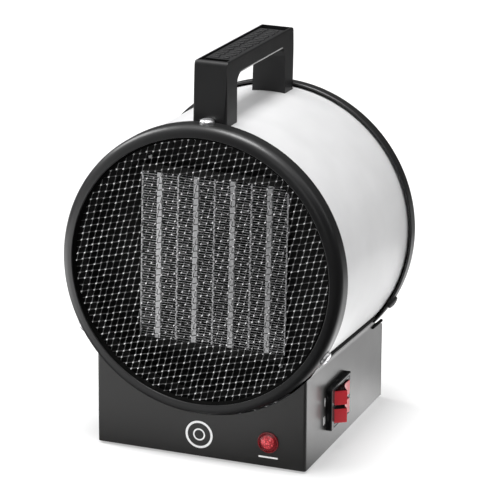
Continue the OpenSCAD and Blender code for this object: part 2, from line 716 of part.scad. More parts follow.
// Every other joint between columns holds a heating bar, the rest a contact plate
function wall_t(k) = k % 2 == 1 ? bar_t : contact_t;
function wall_x(k) = k == 0 ? (contact_t - block_w) / 2
    : k == fin_columns ? (block_w - contact_t) / 2
    : k * column_pitch - block_w / 2;

// Corrugated strip as one folded outline between two walls
module fin(column) {
    left = wall_x(column) + wall_t(column) / 2 + fit;
    right = wall_x(column + 1) - wall_t(column + 1) / 2 - fit;
    low = -fin_folds * fin_pitch / 2 - fin_t / 2;
    rising = [for (k = [0:2:fin_folds - 2]) each [
        [right, low + k * fin_pitch], [right, low + (k + 1) * fin_pitch + fin_t],
        [left + fin_t, low + (k + 1) * fin_pitch + fin_t], [left + fin_t, low + (k + 2) * fin_pitch]]];
    falling = [for (k = [fin_folds - 2:-2:0]) each [
        [left, low + (k + 2) * fin_pitch + fin_t], [left, low + (k + 1) * fin_pitch],
        [right - fin_t, low + (k + 1) * fin_pitch], [right - fin_t, low + k * fin_pitch + fin_t]]];
    polygon(concat(rising, [[right, low + fin_folds * fin_pitch], [right, low + fin_folds * fin_pitch + fin_t]],
        falling, [[left, low + fin_t], [left, low]]));
}

module heater_fins() color("#b9b9bb") in_drum() across(block_front, block_d)
    for (column = [0:fin_columns - 1]) fin(column);

module heating_bars() color("#d6d6d8") in_drum() across(block_front - 0.5, block_d + 1)
    for (k = [1:2:fin_columns - 1]) translate([wall_x(k), 0])
        square([wall_t(k), block_h - 2 * fit], center = true);

tab_l = 10;

module contact_plates() color("#a9a9ab") in_drum() {
    across(block_front, block_d) for (k = [0:2:fin_columns]) translate([wall_x(k), 0])
        square([wall_t(k), block_h - 2 * fit], center = true);
    for (k = [2:2:fin_columns - 2]) translate([0, block_d, 0]) across(block_front, tab_l)
        translate([wall_x(k), block_h / 2 - 8]) square([wall_t(k), blade_w], center = true);
}

cutout_z = (block_h / 2 + holder_h + holder_ear + drum_in_r - base_sheet) / 2;
cutout_r = 8;
cutout_h = 7;
cutout_flange_l = 24;

// Overheat switch on the partition, in the warm air above the block
module thermal_cutout() color("#c8b8a0") in_drum() translate([0, front + plate_d + base_sheet, cutout_z])
    rotate([-90, 0, 0]) {
        cylinder(h = cutout_h, r = cutout_r);
        linear_extrude(blade_t) round_rect(cutout_flange_l, cutout_r, 2);
        for (x = [-1, 1]) translate([x * cutout_r / 2, 0, cutout_h - fit])
            linear_extrude(blade_l) square([blade_t, blade_w], center = true);
    }

// ---------- fan and motor ----------

hub_l = 16;
blade_sheet = 1.4;
blade_camber_r = 55;
fan_depth = 20;
rotor_gap = 0.4;
rotor_over = 1;
bracket_off = 8;
bracket_t = 2;
cup_r = 8;
cup_l = 5;
bush_r = 6;
bolt_x = 24;
shaft_front = fan_front - 3;
stack_back = stack_front + stack_t;
shaft_back = stack_back + bracket_off + bracket_t + cup_l + 2;
bore_r = rotor_r + rotor_gap;
limb_w = 16;
stack_w = 60;
stack_top = bore_r + 8;
window_top = bore_r + 5;
window_h = 13;
stack_low = window_top + window_h + 9;
coil_gap = 0.4;
coil_over = 9;

// Cambered blade that points along +X, pitched about its own length
module fan_blade() intersection() {
    rotate([blade_pitch, 0, 0]) translate([0, 0, -blade_camber_r]) rotate([0, 90, 0]) difference() {
        cylinder(h = fan_r, r = blade_camber_r + blade_sheet / 2);
        translate([0, 0, -1]) cylinder(h = fan_r + 2, r = blade_camber_r - blade_sheet / 2);
    }
    // plan outline: a leaf that widens to the tip
    translate([0, 0, -fan_depth / 2]) linear_extrude(fan_depth) intersection() {
        circle(fan_r);
        translate([fan_r * 0.56, 0]) circle(fan_r * 0.46);
        translate([fan_r / 2, 0]) square([fan_r, fan_r * 0.56], center = true);
    }
}

module fan() color("#c4c6c8") in_drum() translate([0, front + fan_front + hub_l / 2, 0]) rotate([-90, 0, 0])
    difference() {
        union() {
            cylinder(h = hub_l, r = fan_hub_r, center = true);
            for (k = [0:fan_blades - 1]) rotate(k * 360 / fan_blades) fan_blade();
        }
        // the hub is a cup, open to the motor, round a boss
        difference() {
            translate([0, 0, 2 - hub_l / 2]) cylinder(h = hub_l, r = fan_hub_r - 2);
            cylinder(h = hub_l + 2, r = shaft_r + 3.5, center = true);
        }
        cylinder(h = hub_l + 2, r = shaft_r + fit, center = true);
    }

// Spring clip that keeps the fan on its shaft
module fan_clip() color("silver") in_drum() translate([0, front + fan_front, 0]) rotate([90, 0, 0]) difference() {
    cylinder(h = 1.5, r = 6);
    translate([0, 0, -1]) cylinder(h = 4, r = shaft_r + fit);
}

module motor_shaft() color("#d0d0d2") in_drum() translate([0, front + shaft_front, 0]) rotate([-90, 0, 0])
    cylinder(h = shaft_back - shaft_front, r = shaft_r);

module motor_rotor() color("#8f9092") in_drum() translate([0, front + stack_front - rotor_over, 0])
    rotate([-90, 0, 0]) difference() {
        union() {
            cylinder(h = stack_t + 2 * rotor_over, r = rotor_r);
            translate([0, 0, -3]) cylinder(h = stack_t + 2 * rotor_over + 6, r = rotor_r - 4);
        }
        translate([0, 0, -5]) cylinder(h = stack_t + 2 * rotor_over + 10, r = shaft_r + fit);
    }

// Lamination outline with the rotor's bore and the two coil windows
module stack_outline() difference() {
    translate([0, (stack_top - stack_low) / 2]) round_rect(stack_w, stack_top + stack_low, 3);
    circle(bore_r);
    for (side = [-1, 1]) translate([side * (limb_w + window_h) / 2, -window_top - window_h / 2])
        square([window_h, window_h], center = true);
    for (side = [-1, 1]) translate([side * bolt_x, 0]) circle(screw_r + hole);
    for (side = [-1, 1]) translate([side * (bore_r + 1.5), 9 * side]) circle(1.2);
}

module motor_stack() color("#77797c") in_drum() across(stack_front, stack_t) stack_outline();

module motor_coil() color("#b5713a") in_drum() difference() {
    across(stack_front - coil_over, stack_t + 2 * coil_over) translate([0, -window_top - window_h / 2])
        round_rect(limb_w + 2 * window_h - 2 * coil_gap, window_h - 2 * coil_gap, 3);
    across(stack_front - coil_gap, stack_t + 2 * coil_gap)
        translate([0, -window_top - window_h / 2]) square([limb_w + 2 * coil_gap, window_h + 2], center = true);
}

loop_z = 9;
loop_l = 8;
loop_r = 1.1;
loop_t = 1.2;

// Copper loops round the shaded corners of the poles
module shading_loops() color("#c77a3c") in_drum() for (side = [-1, 1])
    translate([side * (bore_r + 1.5), front + stack_front - loop_t, loop_z * side]) rotate([-90, 0, 0]) {
        cylinder(h = stack_t + 2 * loop_t, r = loop_r);
        for (z = [0, stack_t + loop_t + fit]) translate([side * (loop_l / 2 - loop_r + 0.1), 0, z])
            linear_extrude(loop_t - fit) round_rect(loop_l, 2 * loop_r, loop_r - 0.1);
    }

// Strap with legs and a bearing cup, outer face towards -Y; used at both ends of the stack
module bearing_bracket() {
    difference() {
        union() {
            across(stack_front - bracket_off - bracket_t, bracket_t) round_rect(2 * bolt_x + 12, 15, 5);
            translate([0, front + stack_front - bracket_off - bracket_t + 0.1, 0]) rotate([90, 0, 0])
                cylinder(h = cup_l + 0.1, r = cup_r);
            for (side = [-1, 1]) translate([side * bolt_x, front + stack_front, 0]) rotate([90, 0, 0])
                cylinder(h = bracket_off + 0.1, r = 4);
        }
        translate([0, front + stack_front, 0]) rotate([90, 0, 0])
            cylinder(h = bracket_off + bracket_t + cup_l - 1, r = bush_r + fit);
        translate([0, front + stack_front, 0]) rotate([90, 0, 0])
            cylinder(h = bracket_off + bracket_t + cup_l + 1, r = shaft_r + 0.5);
        for (side = [-1, 1]) translate([side * bolt_x, front + stack_front + 1, 0]) rotate([90, 0, 0])
            cylinder(h = bracket_off + bracket_t + 2, r = screw_r + hole);
    }
}

// Sets children at both ends of the stack
module both_ends() {
    children();
    translate([0, 2 * front + stack_front + stack_back, 0]) mirror([0, 1, 0]) children();
}

module bearing_brackets() color("#9a9c9e") in_drum() both_ends() bearing_bracket();

module bearings() color("#a8803c") in_drum() both_ends()
    translate([0, front + stack_front - bracket_off - bracket_t + 1.5, 0]) rotate([90, 0, 0]) difference() {
        cylinder(h = cup_l + 0.5 - fit, r = bush_r);
        translate([0, 0, -1]) cylinder(h = cup_l + 4, r = shaft_r + run);
    }

strap_d = stack_back + bracket_off + bracket_t;
strap_t = 2;
strap_w = 22;
strap_riser_x = drum_r - flange_w + 1;
strap_tab_x = drum_in_r - 1.5;
strap_tab_back = body_d - drum_front - drum_wall;

// Strap across the drum that carries the motor, bent back to the drum's rear flange
module motor_strap() color("#8c8e90") in_drum() difference() {
    translate([0, front, -strap_w / 2]) linear_extrude(strap_w) {
        translate([-strap_riser_x, strap_d]) square([2 * strap_riser_x, strap_t]);
        for (side = [0, 1]) mirror([side, 0]) {
            translate([strap_riser_x - strap_t, strap_d]) square([strap_t, strap_tab_back - strap_d]);
            translate([strap_riser_x - strap_t, strap_tab_back - strap_t])
                square([strap_tab_x - strap_riser_x + strap_t, strap_t]);
        }
    }
    translate([0, front + strap_d - 1, 0]) rotate([-90, 0, 0]) cylinder(h = strap_t + 2, r = cup_r + 0.5);
    for (side = [-1, 1]) {
        translate([side * bolt_x, front + strap_d - 1, 0]) rotate([-90, 0, 0])
            cylinder(h = strap_t + 2, r = screw_r + hole);
        translate([side * strap_screw_r, front + strap_tab_back - strap_t - 1, 0]) rotate([-90, 0, 0])
            cylinder(h = strap_t + 2, r = thin_r + hole);
    }
}

// Long bolts through strap, brackets and stack
module motor_bolts() color("silver") in_drum() for (side = [-1, 1])
    translate([side * bolt_x, front + strap_d + strap_t, 0]) rotate([-90, 0, 0])
        pan_screw(screw_r, strap_t + stack_t + 2 * (bracket_off + bracket_t) + 2, screw_head_r, screw_head_h);

module strap_screws() color("silver") in_drum() for (side = [-1, 1])
    translate([side * strap_screw_r, front + strap_tab_back - strap_t, 0]) rotate([90, 0, 0])
        pan_screw(thin_r, strap_t + drum_wall - fit, thin_head_r, thin_head_h);

front_ring();
front_guard();
front_ring_screws();
drum();
rear_ring();
rear_guard();
rear_ring_screws();
handle();
handle_inlay();
handle_screws();
base_housing();
base_rear_panel();
base_bottom_plate();
base_rear_screws();
base_bottom_screws();
feet();
drum_seals();
cradle_screws();
switch_body();
upper_rocker();
lower_rocker();
switch_terminals();
lamp_lens();
lamp_body();
lamp_nut();
cable_gland();
gland_nut();
terminal_block();
drum_grommet();
heater_plate();
block_holders();
holder_screws();
heater_fins();
heating_bars();
contact_plates();
thermal_cutout();
fan();
fan_clip();
motor_shaft();
motor_rotor();
motor_stack();
motor_coil();
shading_loops();
bearing_brackets();
bearings();
motor_bolts();
motor_strap();
strap_screws();
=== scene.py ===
import json
import math
import bpy
import bmesh
from mathutils import Matrix, Quaternion, Vector


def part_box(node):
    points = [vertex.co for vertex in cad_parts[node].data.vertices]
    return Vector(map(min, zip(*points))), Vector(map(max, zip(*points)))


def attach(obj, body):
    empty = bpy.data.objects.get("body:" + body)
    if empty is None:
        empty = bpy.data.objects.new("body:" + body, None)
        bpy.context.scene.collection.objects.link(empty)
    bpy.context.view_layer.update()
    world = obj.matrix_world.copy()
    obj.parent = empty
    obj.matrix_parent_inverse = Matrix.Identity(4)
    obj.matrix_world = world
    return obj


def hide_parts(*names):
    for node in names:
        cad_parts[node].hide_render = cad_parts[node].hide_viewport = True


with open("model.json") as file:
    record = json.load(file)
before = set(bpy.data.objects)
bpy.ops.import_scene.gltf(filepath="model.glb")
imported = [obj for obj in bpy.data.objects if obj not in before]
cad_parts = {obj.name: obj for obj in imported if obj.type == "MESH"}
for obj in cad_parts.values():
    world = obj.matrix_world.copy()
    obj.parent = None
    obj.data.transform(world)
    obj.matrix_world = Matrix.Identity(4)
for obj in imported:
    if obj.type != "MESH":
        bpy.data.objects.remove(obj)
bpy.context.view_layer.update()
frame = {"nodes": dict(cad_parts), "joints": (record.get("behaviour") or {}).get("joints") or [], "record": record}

mm = 0.001
nodes = frame["nodes"]
spin = next(j for j in frame["joints"] if j["name"] == "fan_spin")
spinAxis = Vector(spin["axis"]).normalized()
drumPlace = Matrix.Translation(spin["pos_m"]) @ Matrix.Rotation(math.atan2(spinAxis.z, spinAxis.y), 4, "X")
drumLength = 149
toRear = Matrix.Scale(-1, 4, (0, 1, 0))
across = Matrix.Rotation(math.radians(90), 4, "X")  # stands a flat shape up, facing the front
sideways = Matrix.Rotation(math.radians(90), 4, "Z") @ across  # stands it up, facing the right
print("frame loaded:", len(nodes), "nodes")


# camera, in metres and degrees
view = {"target": (0, 0, 0.126), "azimuth": 21.361, "elevation": 18.581, "distance": 2.0764, "sensor": 36,
        "lens": 232.65, "roll": 0.267, "shift": (0.0159, -0.0249)}


def placeCamera():
    a, e = math.radians(view["azimuth"]), math.radians(view["elevation"])
    back = Vector((math.sin(a) * math.cos(e), -math.cos(a) * math.cos(e), math.sin(e)))
    data = bpy.data.cameras.new("view")
    data.sensor_width, data.lens = view["sensor"], view["lens"]
    data.shift_x, data.shift_y = view["shift"]
    camera = linked("view", data)
    camera.location = Vector(view["target"]) + back * view["distance"]
    turn = back.to_track_quat("Z", "Y") @ Quaternion((0, 0, 1), math.radians(view["roll"]))
    camera.rotation_euler = turn.to_euler()
    bpy.context.scene.camera = camera


def linked(name, data):
    piece = bpy.data.objects.new(name, data)
    bpy.context.scene.collection.objects.link(piece)
    return piece


placeCamera()


# node trees
def feed(tree, node, inputs):
    # gives each input its value, or links it to the output given for it
    for label, value in inputs.items():
        if isinstance(value, bpy.types.NodeSocket):
            tree.links.new(value, node.inputs[label])
        else:
            node.inputs[label].default_value = value


def put(tree, kind, inputs=None, **settings):
    # adds a node; a kind without a family name is a shader node
    node = tree.nodes.new(kind if "Node" in kind else "ShaderNode" + kind)
    for label, value in settings.items():
        setattr(node, label, value)
    feed(tree, node, inputs or {})
    return node


def maths(tree, operation, a, b):
    return put(tree, "Math", {0: a, 1: b}, operation=operation).outputs[0]


def vectors(tree, operation, a, b=None):
    inputs = {0: a} if b is None else {0: a, "Scale" if operation == "SCALE" else 1: b}
    step = put(tree, "VectorMath", inputs, operation=operation)
    return step.outputs["Value" if operation in ("LENGTH", "DOT_PRODUCT") else "Vector"]


def ramp(tree, value, near, far, low=0, high=1, kind="LINEAR"):
    # low where the value is near, high where it is far
    inputs = {"Value": value, "From Min": near, "From Max": far, "To Min": low, "To Max": high}
    return put(tree, "MapRange", inputs, interpolation_type=kind).outputs[0]


def blend(tree, mask, under, over):
    # one colour over another, each a socket or a value
    under, over = (c if isinstance(c, bpy.types.NodeSocket) else (*c, 1) for c in (under, over))
    return put(tree, "Mix", {0: mask, 6: under, 7: over}, data_type="RGBA").outputs[2]


def either(tree, mask, plain, other):
    # one shader where the mask is nothing, the other where it is full
    return put(tree, "MixShader", {0: mask, 1: plain.outputs[0], 2: other.outputs[0]})


def addUp(tree, values, start):
    for value in values:
        start = maths(tree, "ADD", value, start)
    return start


def newTree(name, kind, ins, outs):
    # a tree with named inputs and outputs
    tree = bpy.data.node_groups.new(name, kind)
    for label, sort, value in ins:
        socket = tree.interface.new_socket(label, in_out="INPUT", socket_type="NodeSocket" + sort)
        if value is not None:
            socket.default_value = value
    for label, sort in outs:
        tree.interface.new_socket(label, in_out="OUTPUT", socket_type="NodeSocket" + sort)
    return tree, tree.nodes.new("NodeGroupInput").outputs, tree.nodes.new("NodeGroupOutput")


# studio
studio = {"world": 0.085, "floorSize": 6.0, "floorColour": (0.9, 0.9, 0.9), "floorRough": 0.9,
          "floorSpec": 0.1, "floorLift": 0.42, "floorShine": 0.03,
          # bright parts of the room: direction, width in degrees, strength
          "glows": [((0, 0, 1), 65, 1.0), ((-0.85, -0.5, 0.05), 50, 0.7), ((-0.807, 0.098, 0.581), 17, 7.0)],
          # what the floor sends up into glossy paint: middle, half size, softness, strength
          "cards": [((-0.5, -0.34), (0.12, 0.16), 0.26, 4.2), ((0.15, 0.02), (0.06, 0.025), 0.1, 1.2),
                    ((0.2, 0.2), (0.07, 0.13), 0.13, 1.22), ((-0.1, -0.2), (0.08, 0.03), 0.14, 0.85),
                    ((-0.6, 0.4), (0.2, 0.3), 0.3, 1.2), ((0.3, 0.7), (0.12, 0.15), 0.15, 0.5)],
          # name: place, width, height, watts; all are aimed at one point
          "aim": (0, 0, 0.1),
          "lights": {"key": ((-1.6, 0.15, 1.35), 1.0, 1.0, 13), "side": ((1.9, 0.9, 1.4), 1.0, 1.4, 4),
                     "top": ((0.05, -0.25, 2.1), 0.75, 0.75, 38), "front": ((0.5, -2.2, 1.0), 1.0, 1.0, 4)}}


def glow(tree, away, near, far, strength):
    # a soft patch: full strength at near, nothing at far
    return ramp(tree, away, near, far, strength, 0, "SMOOTHERSTEP")


def buildRoom(scene):
    world = bpy.data.worlds.new("studio")
    world.use_nodes = True
    tree = world.node_tree
    direction, glows = put(tree, "TexCoord").outputs["Generated"], []
    for towards, width, strength in studio["glows"]:
        facing = vectors(tree, "DOT_PRODUCT", direction, Vector(towards).normalized())
        glows.append(glow(tree, facing, 1, math.cos(math.radians(width)), strength))
    room, white = tree.nodes["Background"], put(tree, "Background", {"Color": (1, 1, 1, 1)})
    feed(tree, room, {"Color": (1, 1, 1, 1), "Strength": addUp(tree, glows, studio["world"])})
    seen = either(tree, put(tree, "LightPath").outputs["Is Camera Ray"], room, white)
    feed(tree, tree.nodes["World Output"], {"Surface": seen.outputs[0]})
    scene.world = world


def floorPaint():
    # a white ground, lifted a little for the camera, in which glossy paint sees the cards
    paint = bpy.data.materials.new("floorPaint")
    paint.use_nodes = True
    tree, shader = paint.node_tree, paint.node_tree.nodes["Principled BSDF"]
    feed(tree, shader, {"Base Color": (*studio["floorColour"], 1), "Roughness": studio["floorRough"],
                        "Specular IOR Level": studio["floorSpec"]})
    spot, path, cards = put(tree, "TexCoord").outputs["Object"], put(tree, "LightPath").outputs, []
    for middle, half, soft, strength in studio["cards"]:
        away = vectors(tree, "ABSOLUTE", vectors(tree, "SUBTRACT", spot, (*middle, 0)))
        away = vectors(tree, "MAXIMUM", vectors(tree, "SUBTRACT", away, (*half, 0)), (0, 0, 0))
        cards.append(glow(tree, vectors(tree, "LENGTH", away), 0, soft, strength))
    shine = put(tree, "Emission", {"Strength": addUp(tree, cards, studio["floorShine"])})
    lift = maths(tree, "MULTIPLY", path["Is Camera Ray"], studio["floorLift"])
    seen = either(tree, lift, shader, put(tree, "Emission"))
    paper = either(tree, path["Is Glossy Ray"], seen, shine)
    feed(tree, tree.nodes["Material Output"], {"Surface": paper.outputs[0]})
    paint.cycles.emission_sampling = "NONE"
    return paint


def buildStudio():
    scene = bpy.context.scene
    scene.view_settings.view_transform = "Standard"
    buildRoom(scene)
    for name, (place, width, height, watts) in studio["lights"].items():
        data = bpy.data.lights.new(name, "AREA")
        data.shape = "RECTANGLE"
        data.size, data.size_y, data.energy = width, height, watts
        lamp = linked(name, data)
        lamp.location = place
        lamp.rotation_euler = (Vector(place) - Vector(studio["aim"])).to_track_quat("Z", "Y").to_euler()
    half = studio["floorSize"] / 2
    sheet = bpy.data.meshes.new("floor")
    corners = [(x * half, y * half, 0) for x, y in ((-1, -1), (1, -1), (1, 1), (-1, 1))]
    sheet.from_pydata(corners, [], [(0, 1, 2, 3)])
    floor = linked("floor", sheet)
    sheet.materials.append(floorPaint())


buildStudio()
print("camera and studio placed")


# finishes
def grainGroup():
    # fine grain and broad cloudiness of a sprayed, moulded or rolled surface
    group, given, end = newTree("surfaceGrain", "ShaderNodeTree", [
        ("Vector", "Vector", None), ("Stretch", "Vector", (1, 1, 1)), ("Grain Size", "Float", 0.5),
        ("Cloud Size", "Float", 30.0)], [("Grain", "Float"), ("Clouds", "Float")])
    stretched = vectors(group, "MULTIPLY", given["Vector"], given["Stretch"])
    for size, detail, out in (("Grain Size", 3, "Grain"), ("Cloud Size", 2, "Clouds")):
        scale = maths(group, "DIVIDE", 1000, given[size])  # a size in millimetres becomes a noise scale
        noise = put(group, "TexNoise", {"Vector": stretched, "Scale": scale, "Detail": detail})
        feed(group, end, {out: noise.outputs["Fac"]})
    return group


def dustGroup():
    # a thin film that settles on what faces up
    group, given, end = newTree("settledDust", "ShaderNodeTree", [
        ("Vector", "Vector", None), ("Amount", "Float", 0.05)], [("Mask", "Float")])
    facing = put(group, "SeparateXYZ", {0: put(group, "NewGeometry").outputs["Normal"]}).outputs["Z"]
    noise = put(group, "TexNoise", {"Vector": given["Vector"], "Scale": 400, "Detail": 4})
    film = maths(group, "MULTIPLY", ramp(group, facing, 0.3, 1), noise.outputs["Fac"])
    feed(group, end, {"Mask": maths(group, "MULTIPLY", film, given["Amount"])})
    return group


surfaceGrain, settledDust = grainGroup(), dustGroup()

# what all finishes share, unless they say otherwise: cloud size in millimetres, spread of colour and
# roughness, dust, no metal, no coat, no lighter colour on eased edges (partly rubbed wear, partly painted
# highlight)
common = {"clouds": 25, "spread": 0.08, "roughSpread": 0.15, "dust": 0.02, "dustColour": (0.5, 0.5, 0.48),
          "metal": 0, "spec": 0.5, "coat": 0, "coatRough": 0.15, "stretch": (1, 1, 1), "worn": None}
# colour, roughness, and then what differs from a plain matt surface; grain sizes in millimetres
finishes = {
    "ring_black": dict(colour=(0.0045, 0.0045, 0.005), rough=0.37, coat=0.12, coatRough=0.3, grain=0.9,
                       bump=0.03),
    "drum_silver": dict(colour=(0.7, 0.7, 0.705), rough=0.36, metal=0.12, grain=0.5, bump=0.02),
    "base_grey": dict(colour=(0.018, 0.0175, 0.017), rough=0.38, coat=0.35, grain=0.6, bump=0.05,
                      worn=(0.09, 0.09, 0.09)),
    "plate_black": dict(colour=(0.004, 0.004, 0.004), rough=0.7, grain=0.6, bump=0.05, spec=0.15),
    "guard_steel": dict(colour=(0.3, 0.3, 0.31), rough=0.34, metal=0.9, grain=0.4, bump=0.05),
    "handle_plastic": dict(colour=(0.008, 0.008, 0.0085), rough=0.42, grain=0.35, bump=0.12, spec=0.4,
                           worn=(0.035, 0.035, 0.036)),
    "inlay_plastic": dict(colour=(0.01, 0.01, 0.011), rough=0.45, grain=0.4, bump=0.15),
    "screw_steel": dict(colour=(0.88, 0.88, 0.89), rough=0.34, metal=1.0, grain=0.2, bump=0.04),
    "screw_black": dict(colour=(0.02, 0.02, 0.02), rough=0.35, metal=0.5, grain=0.2, bump=0.04),
    "zinc_sheet": dict(colour=(0.55, 0.56, 0.58), rough=0.38, metal=1.0, grain=4.0, bump=0.03, spread=0.2),
    "foot_rubber": dict(colour=(0.015, 0.015, 0.015), rough=0.75, grain=0.3, bump=0.2),
    "seal_rubber": dict(colour=(0.003, 0.003, 0.003), rough=0.8, grain=0.5, bump=0.2, spec=0.15),
    "switch_plastic": dict(colour=(0.004, 0.004, 0.0045), rough=0.25, grain=0.3, bump=0.05,
                           worn=(0.04, 0.04, 0.042)),
    "red_plastic": dict(colour=(0.56, 0.018, 0.03), rough=0.22, grain=1.2, bump=0.02, spec=0.4),
    "inlet_plastic": dict(colour=(0.015, 0.015, 0.016), rough=0.45, grain=0.3, bump=0.1),
    "block_plastic": dict(colour=(0.62, 0.58, 0.5), rough=0.5, grain=0.4, bump=0.08),
    "holder_ceramic": dict(colour=(0.006, 0.006, 0.0055), rough=0.7, grain=0.6, bump=0.15, spec=0.3),
    "cutout_ceramic": dict(colour=(0.6, 0.55, 0.46), rough=0.7, grain=0.3, bump=0.15),
    "fin_aluminium": dict(colour=(0.66, 0.66, 0.67), rough=0.35, metal=0.9, grain=0.6, bump=0.05),
    "bar_aluminium": dict(colour=(0.76, 0.76, 0.77), rough=0.3, metal=0.8, grain=0.6, bump=0.04,
                          stretch=(1, 1, 0.08)),
    "fan_aluminium": dict(colour=(0.7, 0.71, 0.72), rough=0.36, metal=1.0, grain=0.8, bump=0.04),
    "shaft_steel": dict(colour=(0.7, 0.7, 0.72), rough=0.2, metal=1.0, grain=0.3, bump=0.03),
    "lamination_steel": dict(colour=(0.25, 0.25, 0.27), rough=0.45, metal=0.9, grain=0.5, bump=0.3,
                             stretch=(0.02, 1, 0.02)),
    "copper_wire": dict(colour=(0.5, 0.2, 0.07), rough=0.3, metal=0.9, grain=0.45, bump=0.5,
                        stretch=(1, 0.05, 1)),
    "terminal_brass": dict(colour=(0.7, 0.52, 0.22), rough=0.28, metal=1.0, grain=0.3, bump=0.03),
    "bush_bronze": dict(colour=(0.45, 0.3, 0.13), rough=0.5, metal=0.9, grain=0.15, bump=0.2),
}
# painted shade: depths between which the heating block goes from bright to dark, and the dark painted there
shade = {"fin_aluminium": (25.1, 27), "bar_aluminium": (25, 40)}
shadeColour = (0.006, 0.006, 0.006)


def startMaterial(name):
    material = bpy.data.materials.new(name)
    material.use_nodes = True
    tree = material.node_tree
    return material, tree, put(tree, "TexCoord").outputs["Object"]


def setSurface(tree, grain, size, bump, values):
    # the shader's values, with the group's grain as a bump
    height = {"Height": grain.outputs["Grain"], "Strength": bump, "Distance": size * mm}
    feed(tree, tree.nodes["Principled BSDF"], {"Normal": put(tree, "Bump", height).outputs[0], **values})


def makeFinish(name, look, **changes):
    look = {**common, **look, **changes}
    material, tree, coord = startMaterial(name)
    grain = put(tree, "Group", {"Vector": coord, "Stretch": look["stretch"], "Grain Size": look["grain"],
                                "Cloud Size": look["clouds"]}, node_tree=surfaceGrain)
    dust = put(tree, "Group", {"Vector": coord, "Amount": look["dust"]}, node_tree=settledDust)
    clouds, rough, vary, spread = grain.outputs["Clouds"], look["rough"], look["roughSpread"], look["spread"]
    low, high = ([min(1, c * share) for c in look["colour"]] for share in (1 - spread, 1 + spread))
    setSurface(tree, grain, look["grain"], look["bump"], {
        "Base Color": blend(tree, dust.outputs["Mask"], blend(tree, clouds, low, high), look["dustColour"]),
        "Roughness": ramp(tree, clouds, 0, 1, rough * (1 - vary), min(1, rough * (1 + vary))),
        "Metallic": look["metal"], "Specular IOR Level": look["spec"],
        "Coat Weight": look["coat"], "Coat Roughness": look["coatRough"]})
    # eased edges painted lighter: partly rubbed wear, partly painted highlight
    if look["worn"]:
        paintOver(material, maskFrom(material, "worn"), look["worn"])
    return material


def paintOver(material, mask, colour):
    # lays a second colour over a material's own, where the mask says
    tree, shader = material.node_tree, material.node_tree.nodes["Principled BSDF"]
    under = shader.inputs["Base Color"].links[0].from_socket
    feed(tree, shader, {"Base Color": blend(tree, mask, under, colour)})


def maskFrom(material, label):
    # a mask that the mesh itself carries
    return put(material.node_tree, "Attribute", attribute_name=label).outputs["Fac"]


def rampMask(material, direction, start, near, far):
    # nothing at one distance along a direction, full at the other
    tree = material.node_tree
    along = vectors(tree, "DOT_PRODUCT", put(tree, "TexCoord").outputs["Object"], direction)
    return ramp(tree, along, start + near * mm, start + far * mm)


def depthMask(material, near, far):
    # depths behind the drum's front
    return rampMask(material, spinAxis, Vector(spin["pos_m"]).dot(spinAxis) - drumLength / 2 * mm, near, far)


def heightMask(material, near, far):
    # heights above the drum's axis
    up = drumPlace.to_3x3() @ Vector((0, 0, 1))
    return rampMask(material, up, Vector(spin["pos_m"]).dot(up), near, far)


def bothMasks(material, a, b):
    return maths(material.node_tree, "MULTIPLY", a, b)


materials = {name: makeFinish(name, look) for name, look in finishes.items()}
# paints the heating block darker deeper in: painted shade
for name, (near, far) in shade.items():
    paintOver(materials[name], depthMask(materials[name], near, far), shadeColour)
slotOf = {part["node"]: part["material_slot"] for part in frame["record"]["subparts"]}
for name, node in nodes.items():
    for place in node.material_slots:
        place.material = materials[slotOf[name]]
print("finishes made:", len(materials))


# making and placing meshes, sizes in millimetres
def arc(x, y, radius, start, end, steps=8):
    turns = [math.radians(start + (end - start) * k / steps) for k in range(steps + 1)]
    return [(x + radius * math.cos(t), y + radius * math.sin(t)) for t in turns]


def rect(x, y, xEnd, yEnd):
    return [(x, y), (xEnd, y), (xEnd, yEnd), (x, yEnd)]


def roundRect(w, h, r, x=0, y=0, steps=6):
    return [p for sx, sy, a in ((1, 1, 0), (-1, 1, 90), (-1, -1, 180), (1, -1, 270))
            for p in arc(x + sx * (w / 2 - r), y + sy * (h / 2 - r), r, a, a + 90, steps)]


def smooth(piece, angle=35):
    piece.data.shade_smooth()
    piece.data.set_sharp_from_angle(angle=math.radians(angle))


def poured(name, shape, angle=35):
    # turns a bmesh into a smooth-shaded object
    data = bpy.data.meshes.new(name)
    shape.to_mesh(data)
    shape.free()
    piece = linked(name, data)
    smooth(piece, angle)
    return piece


def meshOf(name, shape, place=Matrix.Identity(4), angle=35):
    # closes a bmesh in millimetres into an object in metres
    bmesh.ops.remove_doubles(shape, verts=shape.verts, dist=0.001)
    shape.transform(place @ Matrix.Scale(mm, 4))
    bmesh.ops.recalc_face_normals(shape, faces=shape.faces)
    return poured(name, shape, angle)


def lathe(name, profile, place=drumPlace, steps=192, angle=35):
    # turns a closed outline of radius and depth round the y axis
    shape, rings = bmesh.new(), []
    for k in range(steps):
        t = 2 * math.pi * k / steps
        rings.append([shape.verts.new((r * math.sin(t), d, r * math.cos(t))) for r, d in profile])
    for k, here in enumerate(rings):
        there = rings[(k + 1) % steps]
        for i in range(len(profile)):
            j = (i + 1) % len(profile)
            further = [there[m] for m in (j, i) if profile[m][0] > 0.0001]  # none for points on the axis
            if further:
                shape.faces.new([here[i], here[j]] + further)
    return meshOf(name, shape, place, angle)


def prism(name, outline, low, high, place=Matrix.Identity(4)):
    # raises a closed outline from low to high along z
    shape = bmesh.new()
    bottom, top = ([shape.verts.new((x, y, z)) for x, y in outline] for z in (low, high))
    shape.faces.new(bottom)
    shape.faces.new(top)
    for i in range(len(outline)):
        j = (i + 1) % len(outline)
        shape.faces.new((bottom[i], bottom[j], top[j], top[i]))
    return meshOf(name, shape, place)


def bake(piece):
    # turns the piece's modifiers into its mesh
    old = piece.data
    piece.data = bpy.data.meshes.new_from_object(piece.evaluated_get(bpy.context.evaluated_depsgraph_get()))
    piece.modifiers.clear()
    bpy.data.meshes.remove(old)


past = 2  # how far a tool reaches past what it cuts


